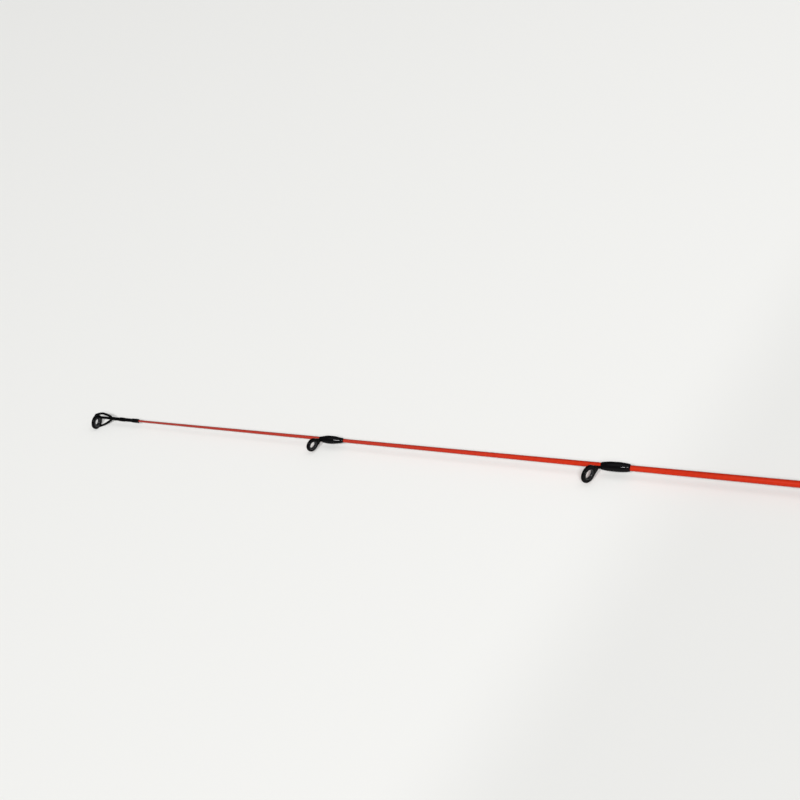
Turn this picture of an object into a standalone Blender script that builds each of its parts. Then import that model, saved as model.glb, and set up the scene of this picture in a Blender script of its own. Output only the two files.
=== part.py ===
# A two-piece baitcasting rod for trout, lying on its side.
# X runs along the rod, from the end face of the butt cap to the tip. Y points to the side that
# carries the line guides and the reel. Z is up. The origin is the centre of the butt cap's end face.

import math
from collections import namedtuple

import bmesh
import bpy
from mathutils import Matrix, Vector

MM = 0.001

# Fits shared by all pieces. overrun is how far a cutter goes past the face that it opens.
slip_fit = 0.05 * MM
running_fit = 0.1 * MM
touch_gap = 0.3 * MM
overrun = 1 * MM

# Blank: one straight taper, measured back from the centre of the tip ring
tip_ring_reach = 1418 * MM
blank_end_width = 0.68 * MM
blank_taper = 0.0071
blank_wall = 0.8 * MM
blank_sides = 20
ring_sides = 20
grip_sides = 24
liner_sides = 36
winding_sides = 14
splice_distance = 331 * MM
spigot_length = 25 * MM
ferrule_distance = 733 * MM
ferrule_overlap = 45 * MM
ferrule_swell_length = 130 * MM
ferrule_winding_length = 22 * MM
ferrule_winding_cover = 0.35 * MM

# Tip-top: a ring on two side arms and a middle strut, brazed to a tube that holds the blank's end
tip_ring_width = 5.9 * MM
tip_ring_seat_width = 4.2 * MM
tip_ring_hole = 2.1 * MM
tip_ring_rise = 2.95 * MM
tip_ring_lean = math.radians(13)
tip_ring_thickness = 1.05 * MM
tip_tube_start = 5.85 * MM
tip_tube_length = 11.2 * MM
tip_tube_width = 1.3 * MM
tip_tube_swell_width = 1.6 * MM
tip_tube_depth = 10.0 * MM
tip_hub_length = 0.7 * MM
tip_arm_width = 1.0 * MM
tip_strut_height = 1.1 * MM
tip_collar_length = 3.2 * MM
tip_collar_width = 1.67 * MM

# Line guides with one foot, from the tip towards the butt. Distances run back from the tip ring,
# winding_lead is how far behind the ring's centre the winding starts. The covers are the thread and
# varnish at the fattest place, behind the blank and over the foot. slimness is 0.6 for a winding that
# is full almost to its ends, and larger for a slim one that is full in the middle only.
Guide = namedtuple(
    "Guide",
    "distance frame_width hole stand_off winding_lead winding_length back_cover foot_cover slimness",
)
running_guides = (
    Guide(91.4 * MM, 5.4 * MM, 2.3 * MM, 1.4 * MM, 1.5 * MM, 9.8 * MM, 0.85 * MM, 0.90 * MM, 1.6),
    Guide(200.2 * MM, 7.2 * MM, 3.1 * MM, 1.6 * MM, 3.5 * MM, 11.2 * MM, 0.80 * MM, 0.6 * MM, 0.6),
    Guide(322.0 * MM, 8.2 * MM, 4.3 * MM, 1.7 * MM, 3.8 * MM, 12.5 * MM, 0.75 * MM, 0.6 * MM, 0.8),
    Guide(458.0 * MM, 9.2 * MM, 5.2 * MM, 1.9 * MM, 4.4 * MM, 14.0 * MM, 0.75 * MM, 0.6 * MM, 0.6),
    Guide(608.0 * MM, 10.4 * MM, 6.2 * MM, 2.2 * MM, 5.1 * MM, 16.0 * MM, 0.75 * MM, 0.65 * MM, 0.7),
)
guide_lean = math.radians(30.5)
guide_ring_wall = 0.72 * MM
winding_front_share = 0.25
winding_rear_share = 0.35
stripper_slimness = 0.7
guide_ring_thickness = 1.19 * MM
guide_band_thickness = 1.0 * MM
guide_plate_thickness = 0.66 * MM
guide_foot_width = 1.3 * MM
guide_foot_thickness = 0.5 * MM
guide_foot_tip = 0.2 * MM
guide_foot_share = 0.82

# Stripper guide: the large ring nearest the reel, on two feet, a little behind the ferrule
stripper_distance = ferrule_distance + 35 * MM
stripper_frame_width = 11.8 * MM
stripper_hole = 7.8 * MM
stripper_stand_off = 2.6 * MM
stripper_lean = math.radians(8)
stripper_leg_width = 1.3 * MM
stripper_front_reach = 3.4 * MM
stripper_rear_reach = 9.0 * MM
stripper_foot_length = 10.6 * MM
stripper_winding_length = 13.0 * MM
stripper_back_cover = 0.7 * MM
stripper_foot_cover = 0.6 * MM

# Hook keeper: a strap with an arch, and a small ring that swings in the arch. keeper_gap is how far
# the arch stands in front of the winding check.
keeper_gap = 22.2 * MM
keeper_axis_height = 1.3 * MM
keeper_arch_bore = 1.5 * MM
keeper_strap_thickness = 0.4 * MM
keeper_strap_width = 1.8 * MM
keeper_foot_length = 6.5 * MM
keeper_winding_length = 6.8 * MM
keeper_winding_cover = 0.35 * MM
keeper_strap_tip = 0.15 * MM
keeper_ring_width = 6.4 * MM
keeper_wire_width = 0.75 * MM

# Butt cap and rear grip
butt_cap_length = 14 * MM
butt_cap_width = 26 * MM
butt_face_width = 18 * MM
blank_seat_depth = 8 * MM
trim_ring_length = 2.6 * MM
trim_ring_proud = 0.3 * MM
rear_grip_length = 111 * MM
rear_grip_end_width = 25.0 * MM
rear_grip_swell_width = 26.4 * MM
rear_grip_waist_width = 22.4 * MM
rear_grip_front_width = 24.0 * MM

# Reel seat: a moulded body with a fixed hood, a bed for the reel's foot, a trigger and a barrel that
# carries the thread. thread_height is how far the thread stands above the barrel.
seat_width = 24.0 * MM
seat_bore = 14.0 * MM
bed_height = 9.0 * MM
pocket_height = 5.0 * MM
pocket_width = 15.0 * MM
pocket_depth = 12.0 * MM
hood_roof = 2.2 * MM
fixed_hood_length = 33 * MM
bed_width = 21.0 * MM
bed_length = 34 * MM
barrel_width = 21.0 * MM
thread_height = 0.3 * MM
arbor_length = 20 * MM
arbor_inset = 6 * MM

# Trigger under the reel seat
trigger_place = 29 * MM
trigger_drop = 28.5 * MM
trigger_sweep = 10.0 * MM
trigger_root_length = 26 * MM
trigger_tip_length = 6.6 * MM
trigger_root_width = 15 * MM
trigger_tip_width = 8.0 * MM

# Moving hood, its liner and the lock nut that drives it
hood_travel = 10.0 * MM
liner_wall = 0.8 * MM
hood_wall = 0.9 * MM
hood_ring_length = 7.0 * MM
nut_length = 12.0 * MM
nut_width = 25.4 * MM
nut_ribs = 20
nut_rib_depth = 0.7 * MM

# Foregrip and winding check
foregrip_length = 40 * MM
foregrip_rear_width = 24.4 * MM
foregrip_front_width = 16.0 * MM
check_length = 3.2 * MM


# Remove what is in the scene
for old in list(bpy.data.objects):
    bpy.data.objects.remove(old)


def material(name, colour, roughness, metallic=0.0):
    """A Principled material with one colour."""
    made = bpy.data.materials.new(name)
    made.use_nodes = True
    shader = made.node_tree.nodes["Principled BSDF"]
    shader.inputs["Base Color"].default_value = (*colour, 1.0)
    shader.inputs["Roughness"].default_value = roughness
    shader.inputs["Metallic"].default_value = metallic
    return made


orange_glass = material("orange glass", (0.56, 0.03, 0.012), 0.3)
black_frame = material("black frame", (0.012, 0.012, 0.013), 0.25, 0.9)
grey_ceramic = material("grey ceramic", (0.2, 0.2, 0.21), 0.12)
black_winding = material("black winding", (0.008, 0.008, 0.009), 0.12)
cork = material("cork", (0.5, 0.3, 0.15), 0.75)
black_rubber = material("black rubber", (0.02, 0.02, 0.02), 0.8)
black_seat = material("black seat", (0.015, 0.015, 0.016), 0.35)
dark_metal = material("dark metal", (0.09, 0.09, 0.1), 0.3, 1.0)
pale_metal = material("pale metal", (0.6, 0.6, 0.62), 0.28, 1.0)
arbor_foam = material("arbor foam", (0.45, 0.4, 0.28), 0.9)


def piece(name, shape, finish, place=0.0, sharp=40):
    """Turn a bmesh into an object that stands at a place along the rod."""
    bmesh.ops.remove_doubles(shape, verts=shape.verts, dist=0.001 * MM)
    bmesh.ops.recalc_face_normals(shape, faces=shape.faces)
    mesh = bpy.data.meshes.new(name)
    shape.to_mesh(mesh)
    shape.free()
    mesh.shade_smooth()
    mesh.set_sharp_from_angle(angle=math.radians(sharp))
    made = bpy.data.objects.new(name, mesh)
    made.location.x = place
    made.data.materials.append(finish)
    bpy.context.collection.objects.link(made)
    return made


def turned(profile, sides=blank_sides):
    """Turn a profile of (x, radius) points about the X axis."""
    shape = bmesh.new()
    points = [shape.verts.new((x, radius, 0.0)) for x, radius in profile]
    edges = [shape.edges.new(pair) for pair in zip(points, points[1:])]
    if profile[0][1] > 0 or profile[-1][1] > 0:
        edges.append(shape.edges.new((points[-1], points[0])))
    bmesh.ops.spin(
        shape, geom=points + edges, cent=(0, 0, 0), axis=(1, 0, 0),
        angle=math.tau, steps=sides, use_merge=True,
    )
    return shape


def loft(sections, closed=False):
    """Skin a row of sections that have the same number of points."""
    shape = bmesh.new()
    rows = [[shape.verts.new(point) for point in section] for section in sections]
    pairs = list(zip(rows, rows[1:]))
    if closed:
        pairs.append((rows[-1], rows[0]))
    for near, far in pairs:
        for index in range(len(near)):
            after = (index + 1) % len(near)
            shape.faces.new((near[index], near[after], far[after], far[index]))
    if not closed:
        shape.faces.new(reversed(rows[0]))
        shape.faces.new(rows[-1])
    return shape


def join(target, tool, operation):
    """Unite the target with the tool, or cut it with the tool, and remove the tool."""
    modifier = target.modifiers.new(operation, "BOOLEAN")
    modifier.object = tool
    modifier.operation = operation
    modifier.solver = "EXACT"
    bpy.context.view_layer.update()
    depsgraph = bpy.context.evaluated_depsgraph_get()
    result = bpy.data.meshes.new_from_object(target.evaluated_get(depsgraph))
    result.set_sharp_from_angle(angle=math.radians(40))
    target.modifiers.clear()
    target.data = result
    bpy.data.objects.remove(tool)


def unite(target, shape):
    join(target, piece("tool", shape, target.data.materials[0], target.location.x), "UNION")


def cut(target, shape):
    join(target, piece("tool", shape, target.data.materials[0], target.location.x), "DIFFERENCE")


def moved(shape, matrix):
    """The same shape after a turn or a shift."""
    bmesh.ops.transform(shape, matrix=matrix, verts=shape.verts)
    return shape


def ellipse(x, centre_y, half_height, half_width, sides):
    """A section across the rod."""
    angles = [math.tau * index / sides for index in range(sides)]
    return [
        (x, centre_y + half_height * math.cos(angle), half_width * math.sin(angle))
        for angle in angles
    ]


def block(low, high):
    """A box between two corners."""
    corners = [(low[1], low[2]), (high[1], low[2]), (high[1], high[2]), (low[1], high[2])]
    return loft([[(x, y, z) for y, z in corners] for x in (low[0], high[0])])


def smooth_step(share):
    share = min(max(share, 0.0), 1.0)
    return share * share * (3 - 2 * share)


def through(points, steps):
    """A smooth curve of (x, y) points through a few chosen ones."""
    curve = []
    last = len(points) - 1
    for index in range(last):
        before = Vector(points[max(index - 1, 0)])
        start = Vector(points[index])
        end = Vector(points[index + 1])
        after = Vector(points[min(index + 2, last)])
        leave = (end - before) / 2
        arrive = (after - start) / 2
        for step in range(steps):
            t = step / steps
            curve.append(
                start * (2 * t**3 - 3 * t**2 + 1) + leave * (t**3 - 2 * t**2 + t)
                + end * (3 * t**2 - 2 * t**3) + arrive * (t**3 - t**2)
            )
    curve.append(Vector(points[last]))
    return [tuple(point) for point in curve]


# Blank and ferrule

def blank_radius(distance):
    """Radius of the plain taper at a distance behind the tip ring."""
    return (blank_end_width + blank_taper * distance) / 2


def tip_section_radius(distance):
    """The tip section swells near its open end, where it goes over the butt section."""
    swell_start = ferrule_distance - ferrule_overlap - ferrule_swell_length
    share = (distance - swell_start) / ferrule_swell_length
    return blank_radius(distance) + (blank_wall + slip_fit) * smooth_step(share)


def blank_tube(name, radius_at, distances):
    """A tapered tube through a few distances behind the tip ring."""
    outside = [(tip_ring_reach - d, radius_at(d)) for d in distances]
    inside = [(tip_ring_reach - d, radius_at(d) - blank_wall) for d in reversed(distances)]
    return piece(name, turned(outside + inside), orange_glass)


def build_blanks():
    """Solid tip, hollow tip section and hollow butt section."""
    tip_start = tip_tube_start + tip_tube_length - tip_tube_depth
    spigot_end = splice_distance + spigot_length
    spigot_radius = blank_radius(splice_distance) - blank_wall - slip_fit
    shoulder = splice_distance - slip_fit
    profile = [(tip_ring_reach - tip_start, 0.0)]
    profile += [(tip_ring_reach - d, blank_radius(d)) for d in (tip_start, shoulder)]
    profile += [(tip_ring_reach - d, spigot_radius) for d in (shoulder, spigot_end)]
    profile.append((tip_ring_reach - spigot_end, 0.0))
    piece("solid_tip", turned(profile), orange_glass)

    swell_end = ferrule_distance - ferrule_overlap
    swell = [swell_end - ferrule_swell_length * (3 - index) / 3 for index in range(4)]
    blank_tube("tip_blank", tip_section_radius, [splice_distance, *swell, ferrule_distance])
    butt_end = tip_ring_reach - (butt_cap_length - blank_seat_depth + touch_gap)
    blank_tube("butt_blank", blank_radius, [swell_end, butt_end])

    # The winding that keeps the open end of the ferrule from splitting
    front = ferrule_distance - ferrule_winding_length
    rows = []
    for index in range(6):
        share = index / 5
        distance = front + ferrule_winding_length * share
        cover = ferrule_winding_cover * (0.35 + 0.65 * math.sin(math.pi * share) ** 0.6)
        rows.append((tip_ring_reach - distance, tip_section_radius(distance) + slip_fit + cover))
    for distance in (ferrule_distance, front):
        rows.append((tip_ring_reach - distance, tip_section_radius(distance) + slip_fit))
    piece("ferrule_winding", turned(rows), black_winding)


# Tip-top

def ceramic_ring(name, seat_radius, hole_radius, thickness, matrix, place):
    """A polished ring with a rounded bore, pressed into its frame."""
    half = thickness / 2
    outer = seat_radius - slip_fit
    middle = (outer + hole_radius) / 2
    profile = []
    for index in range(4):
        angle = math.pi * index / 3
        profile.append((-half * math.cos(angle), middle - (middle - hole_radius) * math.sin(angle)))
    profile += [(0.85 * half, outer), (-0.85 * half, outer)]
    return piece(name, moved(turned(profile, ring_sides), matrix), grey_ceramic, place, 60)


def disc(radius, thickness, round_over):
    """A round plate across the X axis with a rounded rim."""
    half = thickness / 2
    return turned([
        (-half, 0.0), (-half, radius - round_over), (-half + round_over, radius),
        (half - round_over, radius), (half, radius - round_over), (half, 0.0),
    ], ring_sides)


def drill(radius, reach):
    """A cutter for a round hole along the X axis."""
    return turned([(-reach, 0.0), (-reach, radius), (reach, radius), (reach, 0.0)], ring_sides)


def rod_between(centres, radii, sides=10):
    """A tapered wire through a few centres."""
    points = [Vector(centre) for centre in centres]
    sections = []
    for index, point in enumerate(points):
        before = points[max(index - 1, 0)]
        after = points[min(index + 1, len(points) - 1)]
        along = (after - before).normalized()
        side = along.cross(Vector((0, 1, 0))).normalized()
        up = side.cross(along)
        sections.append([
            point + radii[index] * (
                side * math.cos(math.tau * step / sides) + up * math.sin(math.tau * step / sides)
            )
            for step in range(sides)
        ])
    return loft(sections)


def ring_matrix(lean, rise):
    """Place a ring made about the X axis: lift it off the rod and lean its top towards the tip."""
    return Matrix.Translation((0, rise, 0)) @ Matrix.Rotation(-lean, 4, "Z")


def build_tip_top():
    place = tip_ring_reach
    stand = ring_matrix(tip_ring_lean, tip_ring_rise)
    ring_radius = tip_ring_width / 2
    seat_radius = tip_ring_seat_width / 2
    tube_radius = tip_tube_width / 2
    wire = tip_arm_width / 2
    hub_front = -tip_tube_start + slip_fit + tip_hub_length
    band_middle = ring_radius - 0.15 * MM
    strut_end = -tip_ring_rise * math.sin(tip_ring_lean) + 0.2 * MM

    frame = piece(
        "tip_top_frame", moved(disc(ring_radius, tip_ring_thickness, 0.3 * MM), stand),
        black_frame, place,
    )
    unite(frame, turned([
        (-tip_tube_start + slip_fit, 0.0), (-tip_tube_start + slip_fit, tube_radius),
        (hub_front, tube_radius - 0.1 * MM), (hub_front, 0.0),
    ]))
    unite(frame, block(
        (hub_front - 0.3 * MM, -tip_strut_height / 2, -wire * 0.8),
        (strut_end, tip_strut_height / 2 - 0.02 * MM, wire * 0.8),
    ))
    for side in (-1, 1):
        arm = [
            (hub_front - 0.35 * MM, 0.0, side * 0.5 * tube_radius),
            (-tip_tube_start + 1.3 * MM, 0.0, side * 1.1 * MM),
            (-tip_tube_start + 3.6 * MM, 0.8 * MM, side * 2.5 * MM),
            (-0.2 * MM, tip_ring_rise * 0.8, side * band_middle),
        ]
        unite(frame, rod_between(arm, (0.85 * wire, wire, wire, 0.85 * wire)))
    cut(frame, moved(drill(seat_radius, tip_ring_thickness), stand))
    ceramic_ring(
        "tip_top_ring", seat_radius, tip_ring_hole / 2, guide_ring_thickness, stand, place,
    )

    tube_rear = -tip_tube_start - tip_tube_length
    bore = blank_radius(tip_tube_start + tip_tube_length) + slip_fit
    blind_end = tube_rear + tip_tube_depth + touch_gap
    swell = -tip_tube_start - 0.36 * tip_tube_length
    swell_radius = tip_tube_swell_width / 2
    piece("tip_top_tube", turned([
        (-tip_tube_start, 0.0), (-tip_tube_start, tube_radius),
        (swell + 1.6 * MM, tube_radius), (swell + 0.8 * MM, swell_radius),
        (swell - 0.8 * MM, swell_radius), (swell - 1.6 * MM, tube_radius), (tube_rear, tube_radius),
        (tube_rear, bore), (blind_end, bore), (blind_end, 0.0),
    ]), black_frame, place)
    collar_bore = tube_radius + slip_fit
    collar_radius = tip_collar_width / 2
    piece("tip_top_collar", turned([
        (tube_rear, collar_bore), (tube_rear + tip_collar_length, collar_bore),
        (tube_rear + tip_collar_length, collar_bore + 0.06 * MM),
        (tube_rear + 0.5 * tip_collar_length, collar_radius - 0.04 * MM),
        (tube_rear + 0.15 * tip_collar_length, collar_radius),
        (tube_rear, collar_bore + 0.08 * MM),
    ]), black_winding, place)


# Guides and their windings

def foot_height(share, thickness):
    """Height of a foot along its length: full at the bend and ground thin at its end."""
    share = min(max(share, 0.0), 1.0)
    return thickness + (guide_foot_tip - thickness) * share


def winding(name, place, start, length, direction, radius_at, covers, foot, cutters):
    """Thread and varnish over the blank and a guide's foot, fullest near the middle.

    A slim winding is fullest nearer to the guide.
    start is the end next to the guide, and direction is -1 where the winding runs to the butt.
    covers are the depth behind the blank, the depth over the foot and the slimness. foot is the
    foot's bend, its end and its thickness.
    """
    back_cover, foot_cover, slimness = covers
    bend, foot_end, thickness = foot
    shift = 1.3 - 0.25 * slimness
    sections = []
    steps = 8
    for index in range(steps + 1):
        share = index / steps
        edge = winding_front_share * (1 - share) + winding_rear_share * share
        fullness = edge + (1 - edge) * math.sin(math.pi * share**shift) ** slimness
        x = start + direction * length * share
        radius = radius_at(x)
        under = slip_fit + foot_height((x - bend) / (foot_end - bend), thickness)
        under *= 1 - smooth_step((x - foot_end) / (start + direction * length - foot_end))
        top = radius + under + foot_cover * fullness * (1.15 - 0.5 * share)
        side = radius + back_cover * fullness
        sections.append(ellipse(x, (top - side) / 2, (top + side) / 2, side, winding_sides))
    made = piece(name, loft(sections), black_winding, place, 50)
    past = direction * 0.2 * MM
    ends = (start - past, start + direction * length + past)
    bore = [(ends[0], 0.0), (ends[0], radius_at(ends[0]) + slip_fit)]
    bore += [(ends[1], radius_at(ends[1]) + slip_fit), (ends[1], 0.0)]
    cut(made, turned(bore))
    for cutter in cutters:
        cut(made, cutter)
    return made


def foot_strip(bend, end, radius_at, half_width, thickness, room):
    """A guide's crowned foot along the blank. room makes it the cutter for its winding."""
    sections = []
    direction = math.copysign(1, end - bend)
    for share in (0.0, 0.5, 1.0):
        x = bend + (end - bend) * share + direction * room * (2 * share - 1)
        floor = radius_at(x) + slip_fit - 2 * room
        height = foot_height(share, thickness)
        middle = radius_at(x) + slip_fit + 0.4 * height + room
        roof = radius_at(x) + slip_fit + height + room
        wide = (half_width + room) * (1.0 - 0.3 * share)
        narrow = (0.55 * half_width + room) * (1.0 - 0.3 * share)
        sections.append([
            (x, floor, -wide), (x, middle, -wide), (x, roof, -narrow),
            (x, roof, narrow), (x, middle, wide), (x, floor, wide),
        ])
    return loft(sections)


def leg_slot(bend, lean, base, half_width, thickness, room):
    """The room that a winding leaves for the leg of a guide."""
    half = thickness / 2 + room
    shape = block((-half, -0.3 * MM, -half_width - room), (half, 3.0 * MM, half_width + room))
    return moved(shape, Matrix.Translation((bend, base, 0)) @ Matrix.Rotation(-lean, 4, "Z"))


def build_running_guide(number, guide):
    """A ring in a pear-shaped plate, whose narrow end bends back into one foot."""
    place = tip_ring_reach - guide.distance
    ring_radius = guide.frame_width / 2
    seat_radius = guide.hole / 2 + guide_ring_wall
    half_foot = guide_foot_width / 2

    def radius_at(x):
        return tip_section_radius(guide.distance - x)

    base = radius_at(0.0) + slip_fit
    rise = radius_at(0.0) + guide.stand_off + ring_radius * math.cos(guide_lean)
    stand = ring_matrix(guide_lean, rise)
    neck = (rise - base - 0.3 * MM) / math.cos(guide_lean)
    bend = -neck * math.sin(guide_lean) - 0.1 * MM

    # The plate's outline: the ring's circle with straight flanks that run to the neck
    plate_radius = ring_radius - 0.12 * MM
    reach = math.hypot(neck, half_foot)
    tangent = math.atan2(half_foot, neck) + math.acos(plate_radius / reach)
    outline = [(-neck, -half_foot)]
    steps = 12
    for index in range(steps + 1):
        angle = -math.pi + tangent + 2 * (math.pi - tangent) * index / steps
        outline.append((plate_radius * math.cos(angle), plate_radius * math.sin(angle)))
    outline.append((-neck, half_foot))
    half_plate = guide_plate_thickness / 2
    plate = loft([[(x, y, z) for y, z in outline] for x in (-half_plate, half_plate)])

    frame = piece(
        f"guide_{number}_frame",
        moved(disc(ring_radius, guide_band_thickness, 0.28 * MM), stand), black_frame, place,
    )
    unite(frame, moved(plate, stand))
    foot_end = -guide.winding_lead - guide_foot_share * guide.winding_length
    foot_start = bend + 0.35 * MM
    unite(frame, foot_strip(
        foot_start, foot_end, radius_at, half_foot * 0.96, guide_foot_thickness, 0.0,
    ))
    cut(frame, moved(drill(seat_radius, guide_ring_thickness), stand))
    ceramic_ring(
        f"guide_{number}_ring", seat_radius, guide.hole / 2, guide_ring_thickness, stand, place,
    )
    winding(
        f"guide_{number}_winding", place, -guide.winding_lead, guide.winding_length, -1,
        radius_at, (guide.back_cover, guide.foot_cover, guide.slimness),
        (foot_start, foot_end, guide_foot_thickness),
        [
            foot_strip(
                foot_start, foot_end, radius_at, half_foot, guide_foot_thickness, running_fit,
            ),
            leg_slot(
                -(rise - base) * math.tan(guide_lean), guide_lean, base, half_foot + 0.9 * MM,
                guide_plate_thickness, running_fit,
            ),
        ],
    )


def build_stripper_guide():
    """The large ring nearest the reel: a leg in front, two struts behind, and two feet."""
    place = tip_ring_reach - stripper_distance
    ring_radius = stripper_frame_width / 2
    seat_radius = stripper_hole / 2 + guide_ring_wall
    leg = stripper_leg_width / 2

    def radius_at(x):
        return blank_radius(stripper_distance - x)

    base = radius_at(0.0) + slip_fit
    rise = radius_at(0.0) + stripper_stand_off + ring_radius
    stand = ring_matrix(stripper_lean, rise)
    band_middle = (ring_radius + seat_radius) / 2
    low_x = -band_middle * math.sin(stripper_lean)
    low_y = rise - band_middle * math.cos(stripper_lean)
    foot_thickness = guide_foot_thickness + 0.2 * MM

    frame = piece(
        "guide_6_frame",
        moved(disc(ring_radius, guide_band_thickness + 0.2 * MM, 0.3 * MM), stand),
        black_frame, place,
    )
    unite(frame, rod_between(
        [(low_x, low_y, 0.0), (low_x + 0.9 * MM, low_y - 1.1 * MM, 0.0),
         (stripper_front_reach, base + foot_thickness / 2 + 0.02 * MM, 0.0)],
        (0.75 * leg, 0.9 * leg, 0.9 * leg),
    ))
    side_x = -0.35 * band_middle * math.sin(stripper_lean)
    side_y = rise - 0.35 * band_middle
    for side in (-1, 1):
        unite(frame, rod_between(
            [(side_x, side_y, side * 0.94 * band_middle),
             (-0.45 * stripper_rear_reach, 0.5 * (side_y + base), side * 0.6 * band_middle),
             (-stripper_rear_reach, base + foot_thickness / 2 + 0.02 * MM, side * 0.35 * leg)],
            (0.8 * leg, 0.85 * leg, 0.75 * leg),
        ))
    feet = ((stripper_front_reach, 1), (-stripper_rear_reach, -1))
    for reach, direction in feet:
        unite(frame, foot_strip(
            reach - direction * 0.7 * MM, reach + direction * stripper_foot_length, radius_at, leg,
            foot_thickness, 0.0,
        ))
    floor = turned([
        (-stripper_rear_reach - 2 * MM, 0.0),
        (-stripper_rear_reach - 2 * MM, radius_at(0.0) + 0.08 * MM),
        (stripper_front_reach + 2 * MM, radius_at(0.0) + 0.04 * MM),
        (stripper_front_reach + 2 * MM, 0.0),
    ])
    cut(frame, floor)
    cut(frame, moved(drill(seat_radius, 2 * guide_ring_thickness), stand))
    ceramic_ring(
        "guide_6_ring", seat_radius, stripper_hole / 2, guide_ring_thickness + 0.3 * MM, stand, place,
    )
    for (reach, direction), label in zip(feet, ("front", "rear")):
        winding(
            f"guide_6_{label}_winding", place, reach + direction * 0.9 * MM,
            stripper_winding_length, direction, radius_at,
            (stripper_back_cover, stripper_foot_cover, stripper_slimness),
            (reach, reach + direction * stripper_foot_length, foot_thickness),
            [foot_strip(
                reach - direction * 0.7 * MM, reach + direction * stripper_foot_length, radius_at,
                leg, foot_thickness, running_fit,
            )],
        )


# Hook keeper

def build_keeper():
    """A strap bent into an arch over a swinging ring, on the side away from the guides."""
    place = check_start + check_length + keeper_gap

    def radius_at(x):
        return blank_radius(tip_ring_reach - place - x)

    surface = radius_at(0.0) + slip_fit
    arch_inner = keeper_arch_bore / 2
    arch_outer = arch_inner + keeper_strap_thickness
    half_width = keeper_strap_width / 2
    axis_y = -(surface + keeper_axis_height)
    foot_rise = keeper_strap_thickness

    # The strap's outline in the XY plane: along the outside, and back along the inside
    outside = [(arch_outer + keeper_foot_length, -surface - keeper_strap_tip)]
    inside = [(arch_outer + keeper_foot_length, -surface)]
    outside.append((arch_outer + 0.4 * MM, -surface - foot_rise))
    inside.append((arch_inner, -surface))
    for index in range(9):
        angle = math.pi * index / 8
        outside.append((arch_outer * math.cos(angle), axis_y - arch_outer * math.sin(angle)))
        inside.append((arch_inner * math.cos(angle), axis_y - arch_inner * math.sin(angle)))
    outside.append((-arch_outer - 0.4 * MM, -surface - foot_rise))
    inside.append((-arch_inner, -surface))
    outside.append((-arch_outer - keeper_foot_length, -surface - keeper_strap_tip))
    inside.append((-arch_outer - keeper_foot_length, -surface))
    sections = []
    for (out_x, out_y), (in_x, in_y) in zip(outside, inside):
        sections.append([
            (in_x, in_y, -half_width), (out_x, out_y, -half_width),
            (out_x, out_y, half_width), (in_x, in_y, half_width),
        ])
    piece("keeper_strap", loft(sections), black_frame, place)

    # The ring lies forward along the rod at rest and turns about the arch
    middle = (keeper_ring_width - keeper_wire_width) / 2
    wire = keeper_wire_width / 2
    profile = []
    for index in range(6):
        angle = math.tau * (index + 0.5) / 6
        profile.append((wire * math.cos(angle), middle + wire * math.sin(angle)))
    ring = moved(turned(profile), Matrix.Rotation(math.pi / 2, 4, "Z"))
    made = piece("keeper_ring", moved(ring, Matrix.Translation((middle, 0, 0))), black_frame, place)
    made.location.y = axis_y

    for direction, label in ((1, "front"), (-1, "rear")):
        start = direction * (arch_outer + 0.9 * MM)
        sections = []
        steps = 4
        for index in range(steps + 1):
            share = index / steps
            fullness = 0.5 + 0.5 * math.sin(math.pi * share) ** 0.7
            x = start + direction * keeper_winding_length * share
            top = radius_at(x) + keeper_winding_cover * fullness
            strap = foot_rise + (keeper_strap_tip - foot_rise) * share + running_fit
            bottom = -top - strap
            sections.append(ellipse(
                x, (top + bottom) / 2, (top - bottom) / 2, top + 0.35 * strap, blank_sides,
            ))
        made = piece(f"keeper_{label}_winding", loft(sections), black_winding, place)
        past = direction * 0.3 * MM
        ends = (start - past, start + direction * keeper_winding_length + past)
        cut(made, turned([
            (ends[0], 0.0), (ends[0], radius_at(ends[0]) + slip_fit),
            (ends[1], radius_at(ends[1]) + slip_fit), (ends[1], 0.0),
        ]))
        room = running_fit
        strap_end = direction * (arch_outer + keeper_foot_length + room)
        cut(made, loft([
            [(x, y, z) for y, z in (
                (-surface + 2 * room, -half_width - room), (floor, -half_width - room),
                (floor, half_width + room), (-surface + 2 * room, half_width + room),
            )]
            for x, floor in (
                (direction * arch_outer, -surface - foot_rise - room),
                (strap_end, -surface - keeper_strap_tip - room),
            )
        ]))


# Grips and trims

def sleeve(name, finish, start, outline, room=running_fit):
    """A turned piece bored to fit the blank. The outline is (x, radius) from its rear end."""
    def bore(x):
        return blank_radius(tip_ring_reach - start - x) + room

    first = outline[0][0]
    last = outline[-1][0]
    profile = list(outline) + [(last, bore(last)), (first, bore(first))]
    return piece(name, turned(profile, grip_sides), finish, start)


def trim_ring(name, start, radius):
    """A polished metal ring that stands a little proud of its neighbours."""
    crown = radius + trim_ring_proud
    sleeve(name, pale_metal, start, [
        (0.0, radius - 0.2 * MM), (0.25 * trim_ring_length, crown),
        (0.75 * trim_ring_length, crown), (trim_ring_length, radius - 0.2 * MM),
    ])


butt_ring_start = butt_cap_length + touch_gap
rear_grip_start = butt_ring_start + trim_ring_length + touch_gap
seat_ring_start = rear_grip_start + rear_grip_length + touch_gap
seat_start = seat_ring_start + trim_ring_length + touch_gap
mouth = fixed_hood_length
moving_hood_start = fixed_hood_length + bed_length
pocket_bottom = moving_hood_start + pocket_depth
hood_end = pocket_bottom + hood_ring_length
nut_start = hood_end + touch_gap
seat_length = nut_start + nut_length + hood_travel + touch_gap
foregrip_start = seat_start + seat_length + touch_gap
check_start = foregrip_start + foregrip_length + touch_gap


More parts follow.
